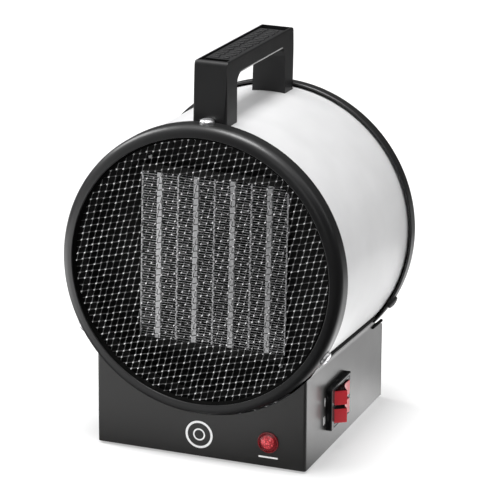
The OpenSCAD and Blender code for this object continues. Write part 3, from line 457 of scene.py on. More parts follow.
def cut(piece, tools, operation="DIFFERENCE"):
    for tool in tools:
        knife = piece.modifiers.new("cut", "BOOLEAN")
        knife.operation, knife.solver, knife.object = operation, "EXACT", tool
    bake(piece)
    for tool in tools:
        bpy.data.objects.remove(tool)


def evenOut(piece):
    # keeps large flat faces flat where small ones meet them
    smooth(piece)
    weigh = piece.modifiers.new("weigh", "WEIGHTED_NORMAL")
    weigh.keep_sharp = True
    bake(piece)


def markFaces(piece, label, test):
    # a mask that finishes can read: full on the faces that pass the test
    mark = piece.data.attributes.get(label) or piece.data.attributes.new(label, "FLOAT", "FACE")
    for face in piece.data.polygons:
        mark.data[face.index].value = 1.0 if test(face) else 0.0


def easeEdges(piece, width, segments=2):
    # rounds the edges, and marks the rounded faces so that a finish can paint them lighter: partly wear, partly a
    # painted highlight on the edges
    while len(piece.data.materials) < 2:
        piece.data.materials.append(None)
    ease = piece.modifiers.new("ease", "BEVEL")
    ease.material = 1
    ease.width, ease.segments, ease.use_clamp_overlap = width * mm, segments, True
    ease.limit_method, ease.angle_limit = "ANGLE", math.radians(40)
    bake(piece)
    evenOut(piece)
    markFaces(piece, "worn", lambda face: face.material_index)
    for face in piece.data.polygons:
        face.material_index = 0


def joined(name, pieces):
    shape = bmesh.new()
    for piece in pieces:
        shape.from_mesh(piece.data)
        bpy.data.objects.remove(piece)
    return poured(name, shape)


def runTree(name, tree, values, points=None):
    # gives a tree its values, and turns what it makes into a plain mesh
    piece = linked(name, points or bpy.data.meshes.new(name))
    grow = piece.modifiers.new("grow", "NODES")
    grow.node_group = tree
    for item in tree.interface.items_tree:
        if item.in_out == "INPUT" and item.name in values:
            grow[item.identifier] = values[item.name]
    bake(piece)
    return piece


def endTree(tree, end, lay, material):
    # makes the copies real, and gives them their material
    real = put(tree, "GeometryNodeRealizeInstances", {"Geometry": lay.outputs[0]})
    paint = put(tree, "GeometryNodeSetMaterial", {"Geometry": real.outputs[0], "Material": material})
    feed(tree, end, {"Geometry": paint.outputs[0]})
    return tree


def finish(piece, slot, body="housing", replaced=None, material=None):
    piece.data.materials.clear()
    piece.data.materials.append(material or materials[slot])
    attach(piece, body)
    if replaced:
        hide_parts(*replaced)


def deep(d):
    # distance behind the middle of the drum for a depth behind its front face
    return d - drumLength / 2


def fromFront(outline):
    return [(r, deep(d)) for r, d in outline]


# rings
ring = {"outerR": 94, "wall": 1.5, "face": 7.7, "skirt": 13.8, "rearSkirt": 12.4, "lip": 2.6, "ease": 0.3,
        "browR": 5.8, "rollR": 0.45, "lean": 6,
        # corners behind the face: out from the back of the lip, depth behind the roll's middle
        "corners": ((0, 1.2), (0.6, 0.8))}


def ringProfile(skirt):
    # skirt, rounded brow, a face that leans outwards a little, and a tight roll into the opening
    outer, wall, ease, brow, roll = (ring[size] for size in ("outerR", "wall", "ease", "browR", "rollR"))
    openR, lean, lip = outer - ring["face"], ring["lean"], ring["lip"]
    turn, rollX, browX = math.radians(lean), openR + roll, outer - brow
    run = browX - rollX + (brow - roll) * math.sin(turn)  # how far the face runs from the roll to the brow
    browZ = roll + (brow - roll) * math.cos(turn) + run * math.tan(turn)
    outline = [(outer - wall, skirt), (outer - ease, skirt), (outer, skirt - ease)]
    outline += arc(browX, browZ, brow, 0, -90 + lean, 12) + arc(rollX, roll, roll, -90 + lean, -180)
    outline += [(openR, lip - ease), (openR + ease, lip), (openR + wall, lip)]
    outline += [(openR + wall + out, roll + behind) for out, behind in ring["corners"]]
    outline += arc(browX, browZ, brow - wall, -70, 0, 5)
    return fromFront(outline)


for name, node, skirt, place in (("frontRing", "front_ring", ring["skirt"], drumPlace),
                                 ("rearRing", "rear_ring", ring["rearSkirt"], drumPlace @ toRear)):
    finish(lathe(name, ringProfile(skirt), place, 256), "ring_black", replaced=[node])
print("rings turned")


# drum
drum = {"outerR": 91, "wall": 1, "foldR": 2, "flange": 12, "ends": 7.2}


def drumProfiles():
    # the silver outside, and the black flanges and lining, meeting in the middle of the wall
    r, w, f = drum["outerR"], drum["wall"], drum["foldR"]
    low, high, inside = drum["ends"], drumLength - drum["ends"], r - drum["flange"]
    bend, skin = r - f, f - w / 2

    def wall(radius, steps):
        return arc(bend, low + f, radius, -90, 0, steps) + arc(bend, high - f, radius, 0, 90, steps)

    shell = wall(f, 6) + wall(skin, 6)[::-1]
    lining = [(inside, low), (bend, low)] + wall(skin, 6) + [(bend, high), (inside, high), (inside, high - w)]
    lining += wall(f - w, 4)[::-1] + [(inside, low + w)]
    return fromFront(shell), fromFront(lining)


shellOutline, liningOutline = drumProfiles()
finish(lathe("drumShell", shellOutline, steps=256), "drum_silver", replaced=["drum"])
finish(lathe("drumLining", liningOutline, steps=256), "plate_black")
print("drum turned")


# mesh guards
mesh = {"right": (4.458, 1.1156), "up": (1.0708, 4.5299), "start": (4.848, 2.343), "reach": 88, "count": 61,
        "front": 3, "thick": 1.2, "jitter": 0.28, "wear": (0.35, 1.15), "seed": 7,
        # bond: sides, length, width, shares of both at its top, rise of the middle, painted glint of the foot
        "sides": 8, "bondLong": 1.55, "bondWide": 1.0, "flat": (0.82, 0.8), "crown": 0.06, "foot": 0.2,
        # strand: width, thickness as a share of it, painted glint of both strands (low values: painted shade),
        # and how far along, how far back and how much turned each of its rows is
        "strand": 0.46, "thin": 0.55, "paintedGlint": (0.11, 0.2),
        "rows": ((0.08, -0.1, 0.2), (0.3, 0.1, 0.8), (0.7, 0.1, 0.8), (0.92, -0.1, 0.2)),
        "steel": dict(dark=(0.02, 0.02, 0.02), bright=(0.85, 0.85, 0.86), between=(0.06, 0.95), metal=0.35,
                      rough=0.36, grain=0.3, bump=0.1),
        # ledge: inner and outer radius, least depth, step above the mesh, gaps to the ring's opening and lip
        "ledge": dict(innerR=84.7, outerR=90.8, high=0.9, step=0.12, gap=0.05, lipGap=0.15)}


def meshUnit():
    # one bond with its two strands, facing -y, small enough to be repeated a thousand times
    shape = bmesh.new()
    glintLayer = shape.verts.layers.float.new("paintedGlint")
    a, b = (Vector((mesh[step][0], 0, mesh[step][1])) for step in ("right", "up"))
    long, wide = (a + b).normalized() * mesh["bondLong"] / 2, (a - b).normalized() * mesh["bondWide"] / 2
    back, sides = Vector((0, mesh["thick"] / 2, 0)), mesh["sides"]

    def corner(spot, shine):
        v = shape.verts.new(spot)
        v[glintLayer] = shine
        return v

    # bond: a low dome with a flat top that is painted bright: a painted glint
    foot, brow = [], []
    for k in range(sides):
        t = 2 * math.pi * k / sides
        x, z = long * math.cos(t), wide * math.sin(t)
        foot.append(corner(x + z + back, mesh["foot"]))
        brow.append(corner(x * mesh["flat"][0] + z * mesh["flat"][1] - back, 1))
    top = corner(-back - Vector((0, mesh["crown"], 0)), 1)
    for k in range(sides):
        j = (k + 1) % sides
        shape.faces.new((foot[k], foot[j], brow[j], brow[k]))
        shape.faces.new((brow[k], brow[j], top))
    # strands: ribbons to the next bonds, turned on edge and dipping between them
    for step, shine in zip((a, b), mesh["paintedGlint"]):
        along, rows = step.normalized(), []
        side, up = Vector((-along.z, 0, along.x)) * mesh["strand"] / 2, Vector((0, mesh["strand"] / 2, 0))
        for share, lift, turn in mesh["rows"]:
            mid = step * share + Vector((0, lift, 0))
            edge = side * math.cos(turn) + up * math.sin(turn)
            thick = (up * math.cos(turn) - side * math.sin(turn)) * mesh["thin"]
            rows.append([corner(mid + edge * p + thick * q, shine)
                         for p, q in ((1, 1), (-1, 1), (-1, -1), (1, -1))])
        for here, there in zip(rows, rows[1:]):
            for i in range(4):
                j = (i + 1) % 4
                shape.faces.new((here[i], here[j], there[j], there[i]))
    return meshOf("meshUnit", shape)


def meshTree(unit, material):
    # lays the unit on a skewed grid inside a circle
    tree, given, end = newTree("guardMesh", "GeometryNodeTree", [
        ("Right", "Vector", None), ("Up", "Vector", None), ("Start", "Vector", None),
        ("Reach", "Float", 0.088), ("Count", "Int", 61)], [("Geometry", "Geometry")])
    # one point for each column and row, a metre apart, is moved to its place and then shaken a little
    spot, count = put(tree, "GeometryNodeInputPosition").outputs[0], given["Count"]
    size = maths(tree, "SUBTRACT", count, 1)
    grid = put(tree, "GeometryNodeMeshGrid", {"Size X": size, "Size Y": size, "Vertices X": count,
                                              "Vertices Y": count})
    parts = put(tree, "SeparateXYZ", {0: spot}).outputs
    right = vectors(tree, "SCALE", given["Right"], parts["X"])
    up = vectors(tree, "SCALE", given["Up"], parts["Y"])
    skewed = vectors(tree, "ADD", vectors(tree, "ADD", right, up), given["Start"])
    placed = put(tree, "GeometryNodeSetPosition", {"Geometry": grid.outputs["Mesh"], "Position": skewed})
    jitter = mesh["jitter"] * mm
    shake = put(tree, "FunctionNodeRandomValue", {0: (-jitter, 0, -jitter), 1: (jitter, 0, jitter)},
                data_type="FLOAT_VECTOR")
    moved = put(tree, "GeometryNodeSetPosition", {"Geometry": placed.outputs[0], "Offset": shake.outputs[0]})
    inside = put(tree, "FunctionNodeCompare", {0: vectors(tree, "LENGTH", spot), 1: given["Reach"]},
                 operation="LESS_THAN")
    source = put(tree, "GeometryNodeObjectInfo", {"Object": unit})
    lay = put(tree, "GeometryNodeInstanceOnPoints", {
        "Points": moved.outputs[0], "Selection": inside.outputs[0], "Instance": source.outputs["Geometry"]})
    least, most = mesh["wear"]
    wear = put(tree, "FunctionNodeRandomValue", {2: least, 3: most, "Seed": mesh["seed"]}).outputs[1]
    store = put(tree, "GeometryNodeStoreNamedAttribute", {
        "Geometry": lay.outputs[0], "Name": "wear", "Value": wear}, data_type="FLOAT", domain="INSTANCE")
    return endTree(tree, end, store, material)


def meshMaterial():
    # strands painted dark and bonds painted bright: painted shade and painted glint, varied at random from unit to
    # unit
    look = mesh["steel"]
    material, tree, coord = startMaterial("meshSteel")
    paintedGlint = bothMasks(material, maskFrom(material, "paintedGlint"), maskFrom(material, "wear"))
    grain = put(tree, "Group", {"Vector": coord, "Grain Size": look["grain"]}, node_tree=surfaceGrain)
    setSurface(tree, grain, look["grain"], look["bump"], {
        "Base Color": blend(tree, ramp(tree, paintedGlint, *look["between"]), look["dark"], look["bright"]),
        "Metallic": look["metal"], "Roughness": look["rough"]})
    return material


def buildGuards():
    steel = meshMaterial()
    gapShadow = makeFinish("gapShadowBlack", finishes["plate_black"], colour=(0.002, 0.002, 0.002), spec=0)
    unit = meshUnit()
    tree = meshTree(unit, steel)
    grid = {label: (mesh[size][0] * mm, 0, mesh[size][1] * mm)
            for label, size in (("Right", "right"), ("Up", "up"), ("Start", "start"))}
    # black ledge between the mesh and the ring, matt and without shine: painted shadow in the gap
    w = mesh["ledge"]
    inner, outer, openR = w["innerR"], w["outerR"], ring["outerR"] - ring["face"] - w["gap"]
    front, lip, back = mesh["front"] - w["step"], ring["lip"] + w["lipGap"], mesh["front"] + mesh["thick"]
    ledge = [(inner, front), (openR, w["high"]), (openR, lip), (outer, lip), (outer, back), (inner, back)]
    for name, node, place in (("frontMesh", "front_guard", drumPlace),
                              ("rearMesh", "rear_guard", drumPlace @ toRear)):
        piece = runTree(name, tree, {**grid, "Reach": mesh["reach"] * mm, "Count": mesh["count"]})
        depth = deep(mesh["front"] + mesh["thick"] / 2)
        piece.data.transform(place @ Matrix.Translation((0, depth * mm, 0)))
        if place.determinant() < 0:
            piece.data.flip_normals()
        smooth(piece, 50)
        finish(piece, "guard_steel", replaced=[node], material=steel)
        finish(lathe(name + "Rim", fromFront(ledge), place), "plate_black", material=gapShadow)
        print(name, "laid:", len(piece.data.polygons), "faces")
    bpy.data.objects.remove(unit)


buildGuards()


# screws
screws = {
    "front_ring_screws": dict(headR=4.7, headH=3.0, slot="screw_steel"),
    "rear_ring_screws": dict(headR=4.5, headH=2.4, slot="screw_black"),
    "base_rear_screws": dict(headR=2.8, headH=1.8, slot="screw_black"),
    "base_bottom_screws": dict(headR=2.8, headH=1.8, slot="screw_steel"),
}
# what all screws share; the head's roundness, the recess and its depth are shares of the head
pan = {"stemR": 1.8, "stem": 3.0, "round": 0.65, "recess": (1.15, 0.24, 0.1), "bottom": 0.45, "fromEnd": 10}


def screwUnit(headR, headH):
    # pan head with a cross recess, its underside at z = 0
    crown = [(headR * x, headH * (1 - pan["round"] + pan["round"] * z)) for x, z in arc(0, 0, 1, 90, 0)]
    stem = [(headR, 0), (pan["stemR"], 0), (pan["stemR"], -pan["stem"]), (0, -pan["stem"])]
    screw = lathe("screwUnit", crown + stem, across, 40, 40)
    blade = roundRect(*(share * headR for share in pan["recess"]), steps=2)
    turns = [Matrix.Rotation(math.radians(angle), 4, "Z") for angle in (0, 90)]
    cut(screw, [prism("blade", blade, headH * pan["bottom"], headH * 2, turn) for turn in turns])
    smooth(screw, 40)
    return screw


def screwTree():
    # a screw on every point, turned the way the point faces
    tree, given, end = newTree("screwSet", "GeometryNodeTree", [
        ("Geometry", "Geometry", None), ("Screw", "Object", None), ("Finish", "Material", None)],
        [("Geometry", "Geometry")])
    facing = put(tree, "GeometryNodeInputNamedAttribute", {"Name": "facing"}, data_type="FLOAT_VECTOR")
    turn = put(tree, "FunctionNodeAlignRotationToVector", {"Vector": facing.outputs["Attribute"]}, axis="Z")
    source = put(tree, "GeometryNodeObjectInfo", {"Object": given["Screw"]})
    lay = put(tree, "GeometryNodeInstanceOnPoints", {
        "Points": given["Geometry"], "Instance": source.outputs["Geometry"], "Rotation": turn.outputs[0]})
    return endTree(tree, end, lay, given["Finish"])


def setScrews(node, spots):
    # spots hold where each head sits and the way it faces
    look = screws[node]
    unit, points = screwUnit(look["headR"], look["headH"]), bpy.data.meshes.new(node)
    points.from_pydata([spot for spot, way in spots], [], [])
    facing = points.attributes.new("facing", "FLOAT_VECTOR", "POINT")
    for k, (spot, way) in enumerate(spots):
        facing.data[k].vector = way
    values = {"Screw": unit, "Finish": materials[look["slot"]]}
    piece = runTree(node.replace("_", "") + "Set", screwSet, values, points)
    bpy.data.objects.remove(unit)
    finish(piece, look["slot"], replaced=[node])


def boltRing(depth):
    # three places round a ring, the first on top
    spots, turn = [], drumPlace.to_quaternion()
    for k in range(3):
        t = 2 * math.pi * k / 3
        out = Vector((math.sin(t), 0, math.cos(t)))
        spots.append((drumPlace @ ((out * ring["outerR"] + Vector((0, depth, 0))) * mm), turn @ out))
    return spots


def onPanel(node, axis, level, way):
    # a place for each separate solid of a node: the middle of its box, brought to the panel's face
    shape = bmesh.new()
    shape.from_mesh(nodes[node].data)
    bmesh.ops.remove_doubles(shape, verts=shape.verts, dist=1e-5)
    left, boxes = set(shape.verts), []
    while left:
        edge, island = [left.pop()], []
        while edge:
            v = edge.pop()
            island.append(v.co.copy())
            reached = {e.other_vert(v) for e in v.link_edges} & left
            left -= reached
            edge += reached
        boxes.append([Vector(end(c[i] for c in island) for i in range(3)) for end in (min, max)])
    shape.free()
    spots = [(low + high) / 2 for low, high in sorted(boxes, key=lambda box: tuple(box[0]))]
    for spot in spots:
        spot[axis] = level
    return [(spot, Vector(way)) for spot in spots]


screwSet = screwTree()
setScrews("front_ring_screws", boltRing(deep(pan["fromEnd"])))
setScrews("rear_ring_screws", boltRing(deep(drumLength - pan["fromEnd"])))
rearY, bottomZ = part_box("base_rear_panel")[1][1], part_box("base_bottom_plate")[0][2]
setScrews("base_rear_screws", onPanel("base_rear_screws", 1, rearY, (0, 1, 0)))
setScrews("base_bottom_screws", onPanel("base_bottom_screws", 2, bottomZ, (0, 0, -1)))
print("screws set")


# handle
handle = {"width": 21.6, "middle": -0.65, "front": 14.6, "foot": 119.9, "frontDraft": 1.4, "rearDraft": 1.9,
          "height": 40.7, "grip": 10.4, "legs": (18.7, 16.6), "innerR": 7, "edgeR": 3, "gripEdgeR": 1,
          "flare": 0.6, "ease": 0.9, "rim": 1.4, "recess": 1.8, "wellR": 0.8, "wellGap": 0.2,
          # slots at both ends of the inlay: lengths, depth, corners, and how far they reach past the well
          "slots": (9.4, 6.6), "slotDeep": 8, "slotR": 0.6, "slotPast": 0.4, "slotShift": 0.1,
          # below the top of the drum: end of the blank, start of the drafts, end of the spread
          "blank": 14, "draft": 4, "spread": 2, "shellGap": 0.02,
          # painted highlight on the edges: width of the line, its stretches from each leg, the corner's shift and
          # size
          "sheen": (0.5, 0.5, 0.5), "glint": 0.9, "lit": ((2, 12), (-4, -7)), "cornerAt": 1.6, "cornerR": 1.7}
onDrum = drumPlace @ Matrix.Translation((handle["middle"] * mm, 0, 0))


def buildHandle():
    h, r, edge, inner = handle, drum["outerR"], handle["edgeR"], handle["innerR"]
    top, gripL = r + h["height"], h["foot"] - h["frontDraft"] - h["rearDraft"]
    under, blank, draft = top - h["grip"], r - h["blank"], r - h["draft"]
    front, rear = h["legs"][0], h["foot"] - h["legs"][1]
    # seen from the side: two legs and the grip
    side = [(h["foot"], blank), (h["foot"], draft)]
    side += arc(h["frontDraft"] + gripL - edge, top - edge, edge, 3, 90)
    side += arc(h["frontDraft"] + edge, top - edge, edge, 90, 177) + [(0, draft), (0, blank), (front, blank)]
    side += arc(front + inner, under - inner, inner, 180, 90, 12)
    side += arc(rear - inner, under - inner, inner, 90, 0, 12) + [(rear, blank)]
    slide, wide = Matrix.Translation((0, deep(h["front"]) * mm, 0)), h["width"] + 2 * h["flare"]
    body = prism("handleBody", side, -wide / 2, wide / 2, onDrum @ slide @ sideways)
    middle = deep(h["front"] + h["foot"] / 2)
    low = 60  # below the blank
    plan = prism("plan", roundRect(wide, h["foot"], edge, 0, middle), low, top + past, onDrum)
    # seen from the front: a rounded top, and sides that spread towards the drum
    w = h["width"] / 2
    spread = [(wide / 2, low), (wide / 2, r - h["spread"])]
    spread += arc(w - h["gripEdgeR"], top - h["gripEdgeR"], h["gripEdgeR"], 0, 90, 6)
    spread += [(-x, z) for x, z in spread[::-1]]
    endOn = prism("endOn", spread, -drumLength, drumLength, onDrum @ across)
    cut(body, [plan, endOn], "INTERSECT")
    # room for the inlay, the slots at its ends and the drum
    wellW, wellL = h["width"] - 2 * h["rim"], gripL - 2 * (edge + h["wellGap"])
    wellMid = deep(h["front"] + h["frontDraft"] + gripL / 2)
    well = roundRect(wellW, wellL, h["wellR"], 0, wellMid)
    rooms = [prism("well", well, top - h["recess"], top + past, onDrum),
             lathe("shellRoom", rect(0, -drumLength / 2, r + h["shellGap"], drumLength / 2), drumPlace, 256)]
    for end, slot in zip((-1, 1), h["slots"]):
        at = wellMid + end * (wellL / 2 - slot / 2 - h["slotShift"])
        outline = roundRect(wellW, slot + h["slotPast"], h["slotR"], 0, at)
        rooms.append(prism("slot", outline, top - h["slotDeep"], top + past, onDrum))
    cut(body, rooms)
    easeEdges(body, h["ease"], 3)
    # painted highlights: the corner above the front leg and the grip's lower right edge are painted light where
    # they catch the light
    back, corner = onDrum.inverted(), Vector((w, deep(h["front"]) + h["cornerAt"], top))
    markFaces(body, "glint", lambda face: (back @ face.center / mm - corner).length < h["cornerR"])
    markFaces(body, "side", lambda face: face.normal.x > 0.9)
    grip = makeFinish("gripPlastic", finishes["handle_plastic"])
    line = heightMask(grip, under + h["glint"], under + 0.6 * h["glint"])
    line = bothMasks(grip, maskFrom(grip, "side"), line)
    for leg, stretch in zip((front, rear), h["lit"]):
        line = bothMasks(grip, line, depthMask(grip, *(h["front"] + leg + reach for reach in stretch)))
    paintOver(grip, line, h["sheen"])
    paintOver(grip, maskFrom(grip, "glint"), h["sheen"])
    finish(body, "handle_plastic", replaced=["handle"], material=grip)
    return wellMid, wellL, top


wellMid, wellLength, gripTop = buildHandle()
print("handle cut")


# handle inlay
inlay = {"rim": 0.7, "top": 0.35, "cornerR": 0.5, "ease": 0.2, "sideShade": (0.001, 0.001, 0.001),
         # ribs: count, height above the plate, ease, border round them, shares of each field that a rib
         # fills, smallest and largest scale
         "rows": 2, "columns": 19, "raise": 0.55, "ribEase": 0.15, "border": (2, 3), "wide": 0.86,
         "fill": 0.6, "scales": ((0.55, 0.5, 0.9), (1, 1, 1.1)), "seed": 4}


def ribTree():
    # rows of small raised bars, each with a length of its own
    tree, given, end = newTree("gripRibs", "GeometryNodeTree", [
        ("Length", "Float", 0.1), ("Width", "Float", 0.018), ("Height", "Float", 0.0004),
        ("Fill", "Float", 0.7), ("Rows", "Int", 2), ("Columns", "Int", 19), ("Seed", "Int", 1),
        ("Finish", "Material", None)], [("Geometry", "Geometry")])
    width, length, rows, columns = (given[label] for label in ("Width", "Length", "Rows", "Columns"))
    stepX, stepY = maths(tree, "DIVIDE", width, rows), maths(tree, "DIVIDE", length, columns)
    grid = put(tree, "GeometryNodeMeshGrid", {
        "Size X": maths(tree, "SUBTRACT", width, stepX), "Size Y": maths(tree, "SUBTRACT", length, stepY),
        "Vertices X": rows, "Vertices Y": columns})
    size = put(tree, "CombineXYZ", {0: maths(tree, "MULTIPLY", stepX, inlay["wide"]),
                                    1: maths(tree, "MULTIPLY", stepY, given["Fill"]), 2: given["Height"]})
    cube = put(tree, "GeometryNodeMeshCube", {"Size": size.outputs[0]})
    least, most = inlay["scales"]
    vary = put(tree, "FunctionNodeRandomValue", {0: least, 1: most, "Seed": given["Seed"]},
               data_type="FLOAT_VECTOR")
    lay = put(tree, "GeometryNodeInstanceOnPoints", {
        "Points": grid.outputs["Mesh"], "Instance": cube.outputs["Mesh"], "Scale": vary.outputs[0]})
    return endTree(tree, end, lay, given["Finish"])


def buildInlay():
    plastic, (front, rear) = materials["inlay_plastic"], handle["slots"]
    width, length = handle["width"] - 2 * (handle["rim"] + inlay["rim"]), wellLength - front - rear
    middle = wellMid + (front - rear) / 2
    low, high = gripTop - handle["recess"], gripTop - inlay["top"] - inlay["raise"]
    plate = prism("handleInlay", roundRect(width, length, inlay["cornerR"], 0, middle), low, high, onDrum)
    easeEdges(plate, inlay["ease"])
    ribs = runTree("handleRibs", ribTree(), {
        "Length": (length - inlay["border"][1]) * mm, "Width": (width - inlay["border"][0]) * mm,
        "Height": 2 * inlay["raise"] * mm, "Fill": inlay["fill"], "Rows": inlay["rows"],
        "Columns": inlay["columns"], "Seed": inlay["seed"], "Finish": plastic})
    ribs.data.transform(onDrum @ Matrix.Translation((0, middle * mm, high * mm)))
    easeEdges(ribs, inlay["ribEase"], 1)
    # sides of the plate and ribs painted near black: painted shade in the slots and along the ribs
    for piece in (plate, ribs):
        markFaces(piece, "end", lambda face: abs(face.normal.z) < 0.5)
    paintOver(plastic, maskFrom(plastic, "end"), inlay["sideShade"])
    finish(plate, "inlay_plastic", replaced=["handle_inlay"])
    finish(ribs, "inlay_plastic")


buildInlay()
print("handle inlay laid")


# base
base = {"foldR": 2, "sheet": 1, "top": 100, "frontR": 95, "rimR": 93.42, "bendR": 1.0, "cradleR": 91.66,
        "flange": 12, "flangeRoom": 90, "frontEnd": 13.8, "cradleStart": 24.8, "cradleEnd": 131.5,
        "rearR": 97.4, "ease": 0.25, "switchGap": (31.4, 24.8), "glandR": 6.1,
        # painted highlights: a lighter band below the bend, its colour, and the lighter colour of the bend itself
        "band": (3.0, 0.4), "sheen": (0.3, 0.3, 0.3), "bendHighlight": (0.32, 0.32, 0.32)}


def boxOf(node):
    # the low and the high corner of a node's box, in millimetres
    return [Vector(corner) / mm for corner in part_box(node)]


baseLow, baseHigh = boxOf("base_housing")
rearLow, rearHigh = boxOf("base_rear_panel")
switchMid, lampMid, glandMid = (sum(boxOf(node), Vector()) / 2
                                for node in ("switch_body", "lamp_lens", "cable_gland"))
switchMid.x, lampMid.y, glandMid.y = baseHigh.x, baseLow.y, rearHigh.y
onFront = Matrix.Translation(lampMid * mm) @ across
onSide = Matrix(((0, 0, 1, 0), (1, 0, 0, 0), (0, 1, 0, 0), (0, 0, 0, 1)))
onSide.translation = switchMid * mm
halfW = baseHigh.x
bendX = halfW - base["bendR"]
bendZ = -math.sqrt((base["cradleR"] + base["bendR"]) ** 2 - bendX ** 2)


def drumRoom():
    # everything that the drum and its rings need room for
    b, front, rear = base, -30, 190  # both well past the rings
    ends = [(0, front), (b["frontR"], front), (b["frontR"], b["frontEnd"]), (b["rimR"], b["cradleStart"]),
            (b["rimR"], b["cradleEnd"]), (b["rearR"], drumLength + 2), (b["rearR"], rear), (0, rear)]
    return lathe("drumRoom", fromFront(ends), drumPlace, 360)


def buildHousing():
    # front and sides from one sheet
    b, front, rear, fold = base, baseLow.y, rearHigh.y - base["sheet"], base["foldR"]

    def wrapped(x, radius):
        corner, depth = halfW - fold, front + fold
        turns = arc(corner, depth, radius, 0, -90, 6) + arc(-corner, depth, radius, -90, -180, 6)
        return [(x, rear)] + turns + [(-x, rear)]

    outline = wrapped(halfW, fold) + wrapped(halfW - b["sheet"], fold - b["sheet"])[::-1]
    walls = prism("baseHousing", outline, baseLow.z, b["top"])
    y, z = (size / 2 for size in b["switchGap"])
    window = rect(switchMid.y - y, switchMid.z - z, switchMid.y + y, switchMid.z + z)
    gap = prism("switchGap", window, halfW - past, halfW + past, sideways)
    room = rect(-b["flangeRoom"], deep(b["cradleStart"]), b["flangeRoom"], deep(b["cradleEnd"]))
    level = prism("flangeRoom", room, bendZ, drum["outerR"], drumPlace)
    cut(walls, [level, gap])
    easeEdges(walls, b["ease"])
    cut(walls, [drumRoom()])
    evenOut(walls)
    # the side panels are rolled over at the top; a lighter band is painted along them below the bend, a painted
    # highlight
    markFaces(walls, "side", lambda face: abs(face.normal.x) > 0.98)
    bandSheen = makeFinish("bandSheenGrey", finishes["base_grey"])
    band = heightMask(bandSheen, *(bendZ - below for below in b["band"]))
    paintOver(bandSheen, bothMasks(bandSheen, maskFrom(bandSheen, "side"), band), b["sheen"])
    finish(walls, "base_grey", replaced=["base_housing"], material=bandSheen)


def buildRearPanel():
    panel = prism("baseRear", rect(-halfW, rearLow.y, halfW, rearHigh.y), rearLow.z, base["top"])
    hole = arc(0, 0, base["glandR"], 0, 360, 32)[:-1]
    gland = prism("glandGap", hole, -past, past, Matrix.Translation(glandMid * mm) @ across)
    cut(panel, [drumRoom(), gland])
    easeEdges(panel, base["ease"])
    finish(panel, "base_grey", replaced=["base_rear_panel"])


buildHousing()
buildRearPanel()
print("base folded")


# cradle
seal = {"gap": 0.04, "ends": (0.6, 3), "reach": 1.3, "start": 0.4,
        # where the lip leaves the drum, and its corners out from the panel and up from the bend
        "leave": 0.2, "lip": ((0.5, 3.3), (0.8, 2.5), (0.6, 1.3), (-0.2, 1.05)),
        # pads under the rear ring: radius, place out from the panel, height, overlap at their ends
        "padR": 1.1, "padOut": 0.3, "padZ": -63.9, "padEnd": 0.5}


def alongDrum(name, section, start, end):
    # runs a section of distances out and up along the drum, on both sides
    return [prism(name, [(side * x, z) for x, z in section], -deep(end), -deep(start), drumPlace @ across)
            for side in (1, -1)]


def buildCradle():
    # the side panels' tops, bent in along the drum, and the rubber between them and the drum
    b, s, start, end = base, seal, base["cradleStart"], base["cradleEnd"]
    bend = math.degrees(math.atan2(bendZ, bendX))
    tip = bend - math.degrees(b["flange"] / b["cradleR"]) * s["reach"]
    section = arc(bendX, bendZ, b["bendR"], 0, bend + 180, 10) + arc(0, 0, b["cradleR"], bend, tip, 12)[1:]
    section += arc(0, 0, b["cradleR"] + b["bendR"], tip, bend, 12)
    # the bent flanges are painted light grey: a painted highlight on the bend
    bright = makeFinish("bendHighlightGrey", finishes["base_grey"], colour=b["bendHighlight"], worn=None)
    finish(joined("cradleFlanges", alongDrum("flange", section, start, end)), "base_grey", material=bright)
    r = drum["outerR"] + s["gap"]
    strip = arc(0, 0, r, tip, math.degrees(math.asin((halfW + s["leave"]) / r)) - 90, 12)
    strip += [(halfW + out, bendZ + up) for out, up in s["lip"]]
    strip += arc(0, 0, b["cradleR"] - s["gap"], bend + s["start"], tip, 12)
    rubber = alongDrum("strip", strip, start - s["ends"][0], end + s["ends"][1])
    pad = arc(halfW + s["padOut"], s["padZ"], s["padR"], 0, 360, 12)[:-1]
    rubber += alongDrum("pad", pad, end - s["padEnd"], drumLength - s["padEnd"])
    finish(joined("drumSeals", rubber), "seal_rubber", replaced=["drum_seals"])


buildCradle()
print("cradle bent")


# rocker switch
switch = {"length": 36.5, "height": 29, "cornerR": 1.6, "face": 4, "ease": 0.8, "window": (26.1, 22.4),
          "pocket": 12, "rib": 2.2, "wellR": 0.5, "edge": 0.15, "blank": 14, "overlap": 0.05,
          # step in the frame and the lip in it: wider than the window by, corners, depth below the face
          "step": (3.4, 1.0, 0.35), "lip": (2.2, 0.8, 0.1), "lipRoot": 3,
          # box behind the panel: length, height, corners, depth; hollow: wider than the window by, height
          "box": (31, 24.6, 0.5, 22), "hollow": (0.6, 23)}


def buildBezel():
    w, face, (wide, tall) = switch, switch["face"], switch["window"]

    def block(name, size, r, low, high, y=0):
        return prism(name, roundRect(*size, r, 0, y), low, high, onSide)

    body = block("switchBezel", (w["length"], w["height"]), w["cornerR"], -w["blank"], face)
    easeEdges(body, w["ease"], 4)
    over, r, below = w["step"]
    cut(body, [block("frameStep", (wide + over, tall + over), r, face - below, face + past)])
    over, r, below = w["lip"]
    cut(body, [block("frameLip", (wide + over, tall + over), r, face - w["lipRoot"], face - below)], "UNION")
    wells = [block("well", (wide, (tall - w["rib"]) / 2), w["wellR"], face - w["pocket"], face + past,
                   side * (tall + w["rib"]) / 4) for side in (1, -1)]
    cut(body, wells + [block("behind", (2 * w["length"], 2 * w["height"]), 1, -w["blank"] - past, 0)])
    easeEdges(body, w["edge"])
    length, height, r, depth = w["box"]
    over, high = w["hollow"]
    box = block("switchBox", (length, height), r, -depth, w["overlap"])
    cut(box, [block("hollow", (wide + over, high), r, face - w["pocket"], past)])
    finish(joined("switchBody", [body, box]), "switch_plastic", replaced=["switch_body"])


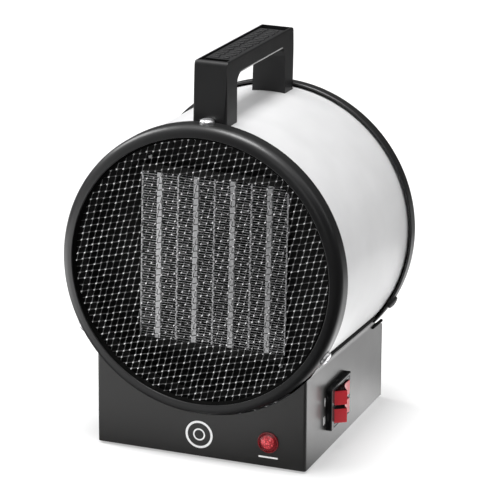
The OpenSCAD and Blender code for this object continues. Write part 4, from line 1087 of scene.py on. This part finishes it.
# half of a rocker's outline, from its foot to its end; then the dip between both ends
rocker = {"width": 9.6, "swing": 30, "half": ((-8, -6), (-12.2, -3.2), (-12.75, -1.3)), "dipFrom": 9.6,
          "topZ": 7.9, "dip": 2.5, "ease": 0.3, "flankShade": (0.025, 0.002, 0.003)}


def buildRocker(node, pivot, red, steps=8):
    # a bar with two sloping ends and a shallow dip, which tilts about its pins
    w, half = rocker, list(rocker["half"])
    dip = [(w["dipFrom"] * (2 * k / steps - 1), w["topZ"] - w["dip"] * math.sin(math.pi * k / steps))
           for k in range(steps + 1)]
    outline = half + dip + [(-x, z) for x, z in half[::-1]]
    place = onSide.copy()
    place.translation = pivot
    place = place @ Matrix.Rotation(math.radians(w["swing"] / 2), 4, "Y") @ across
    piece = prism(node, outline, -w["width"] / 2, w["width"] / 2, place)
    easeEdges(piece, w["ease"], 3)
    markFaces(piece, "flank", lambda face: abs(face.normal.z) > 0.75)
    finish(piece, "red_plastic", node, [node], red)


def buildRockers():
    red = makeFinish("rockerRed", finishes["red_plastic"])
    # faces that point up or down painted dark red: painted shade on the flanks
    paintOver(red, maskFrom(red, "flank"), rocker["flankShade"])
    for joint in frame["joints"]:
        if "rocker" in joint["child"]:
            buildRocker(joint["child"], joint["pos_m"], red)


buildBezel()
buildRockers()
print("switch built")


# signal lamp
lamp = {"rimR": 7, "rimH": 1.1, "domeR": 5.9, "domeH": 3.6, "bevel": 0.3, "groove": 0.35,
        "glass": dict(colour=(0.16, 0.006, 0.01), rough=0.12, coat=0.6),
        # painted inner glow, which is painted light: radius and softness, shift across and up, colour; its facets:
        # size, bright to dark
        "glowR": 4.4, "soft": 0.86, "glowShift": (0.3, 0.9), "glow": (0.95, 0.1, 0.12), "facet": 0.95,
        "facetTone": (0.25, 0.6, 1.0, 0.25)}


def lampMaterial():
    # clear red over a pebbled inner glow painted into the colour (painted light), dark towards its rim
    material = makeFinish("lampRed", finishes["red_plastic"], **lamp["glass"])
    tree, (right, up) = material.node_tree, lamp["glowShift"]
    centre = (lampMid + Vector((right, 0, up))) * mm
    place = put(tree, "Mapping", {"Vector": put(tree, "TexCoord").outputs["Object"], "Location": -centre})
    flat = vectors(tree, "MULTIPLY", place.outputs[0], (1, 0, 1))
    radius = lamp["glowR"] * mm
    core = ramp(tree, vectors(tree, "LENGTH", flat), radius, lamp["soft"] * radius)
    facets = put(tree, "TexVoronoi", {"Vector": flat, "Scale": 1 / (lamp["facet"] * mm)})
    edge = ramp(tree, facets.outputs["Distance"], *lamp["facetTone"])
    paintOver(material, bothMasks(material, core, edge), lamp["glow"])
    return material


def buildLamp():
    r, h, dome, top, bevel, groove = (lamp[k] for k in ("rimR", "rimH", "domeR", "domeH", "bevel", "groove"))
    rim = [(0, 0), (r, 0), (r, h - bevel), (r - bevel, h), (dome + groove, h), (dome, h - groove)]
    rise = top - h + groove
    ball = (dome ** 2 + rise ** 2) / (2 * rise)
    start = math.degrees(math.acos(dome / ball))
    piece = lathe("lampLens", rim + arc(0, top - ball, ball, start, 90, 10)[1:], onFront @ across, 64, 30)
    finish(piece, "red_plastic", replaced=["lamp_lens"], material=lampMaterial())


buildLamp()
print("lamp built")


# printed marks
marks = {"ringAt": (-0.95, 16.2), "rings": ((7.75, 9.25), (3.1, 4.1)), "proud": 0.05, "cornerR": 0.3,
         # a stroke under the lamp and three beside the switch: width, height, place
         "strokes": ((onFront, 13, 1.1, 0, -10.2), (onSide, 1.0, 5.5, -20.6, 6.1),
                     (onSide, 1.0, 5.5, -20.6, -6.1), (onSide, 1.0, 5.5, -22.8, -6.1))}


def buildMarks():
    white = makeFinish("markWhite", finishes["drum_silver"], colour=(0.9, 0.9, 0.9), rough=0.5, metal=0)
    place = Matrix.Translation(Vector((marks["ringAt"][0], baseLow.y, marks["ringAt"][1])) * mm)
    prints = [lathe("ringMark", rect(inside, 0, outside, -marks["proud"]), place, 96)
              for inside, outside in marks["rings"]]
    prints += [prism("stroke", roundRect(w, h, marks["cornerR"], x, z, 3), 0, marks["proud"], face)
               for face, w, h, x, z in marks["strokes"]]
    finish(joined("printedMarks", prints), "drum_silver", material=white)


buildMarks()
print("marks printed")
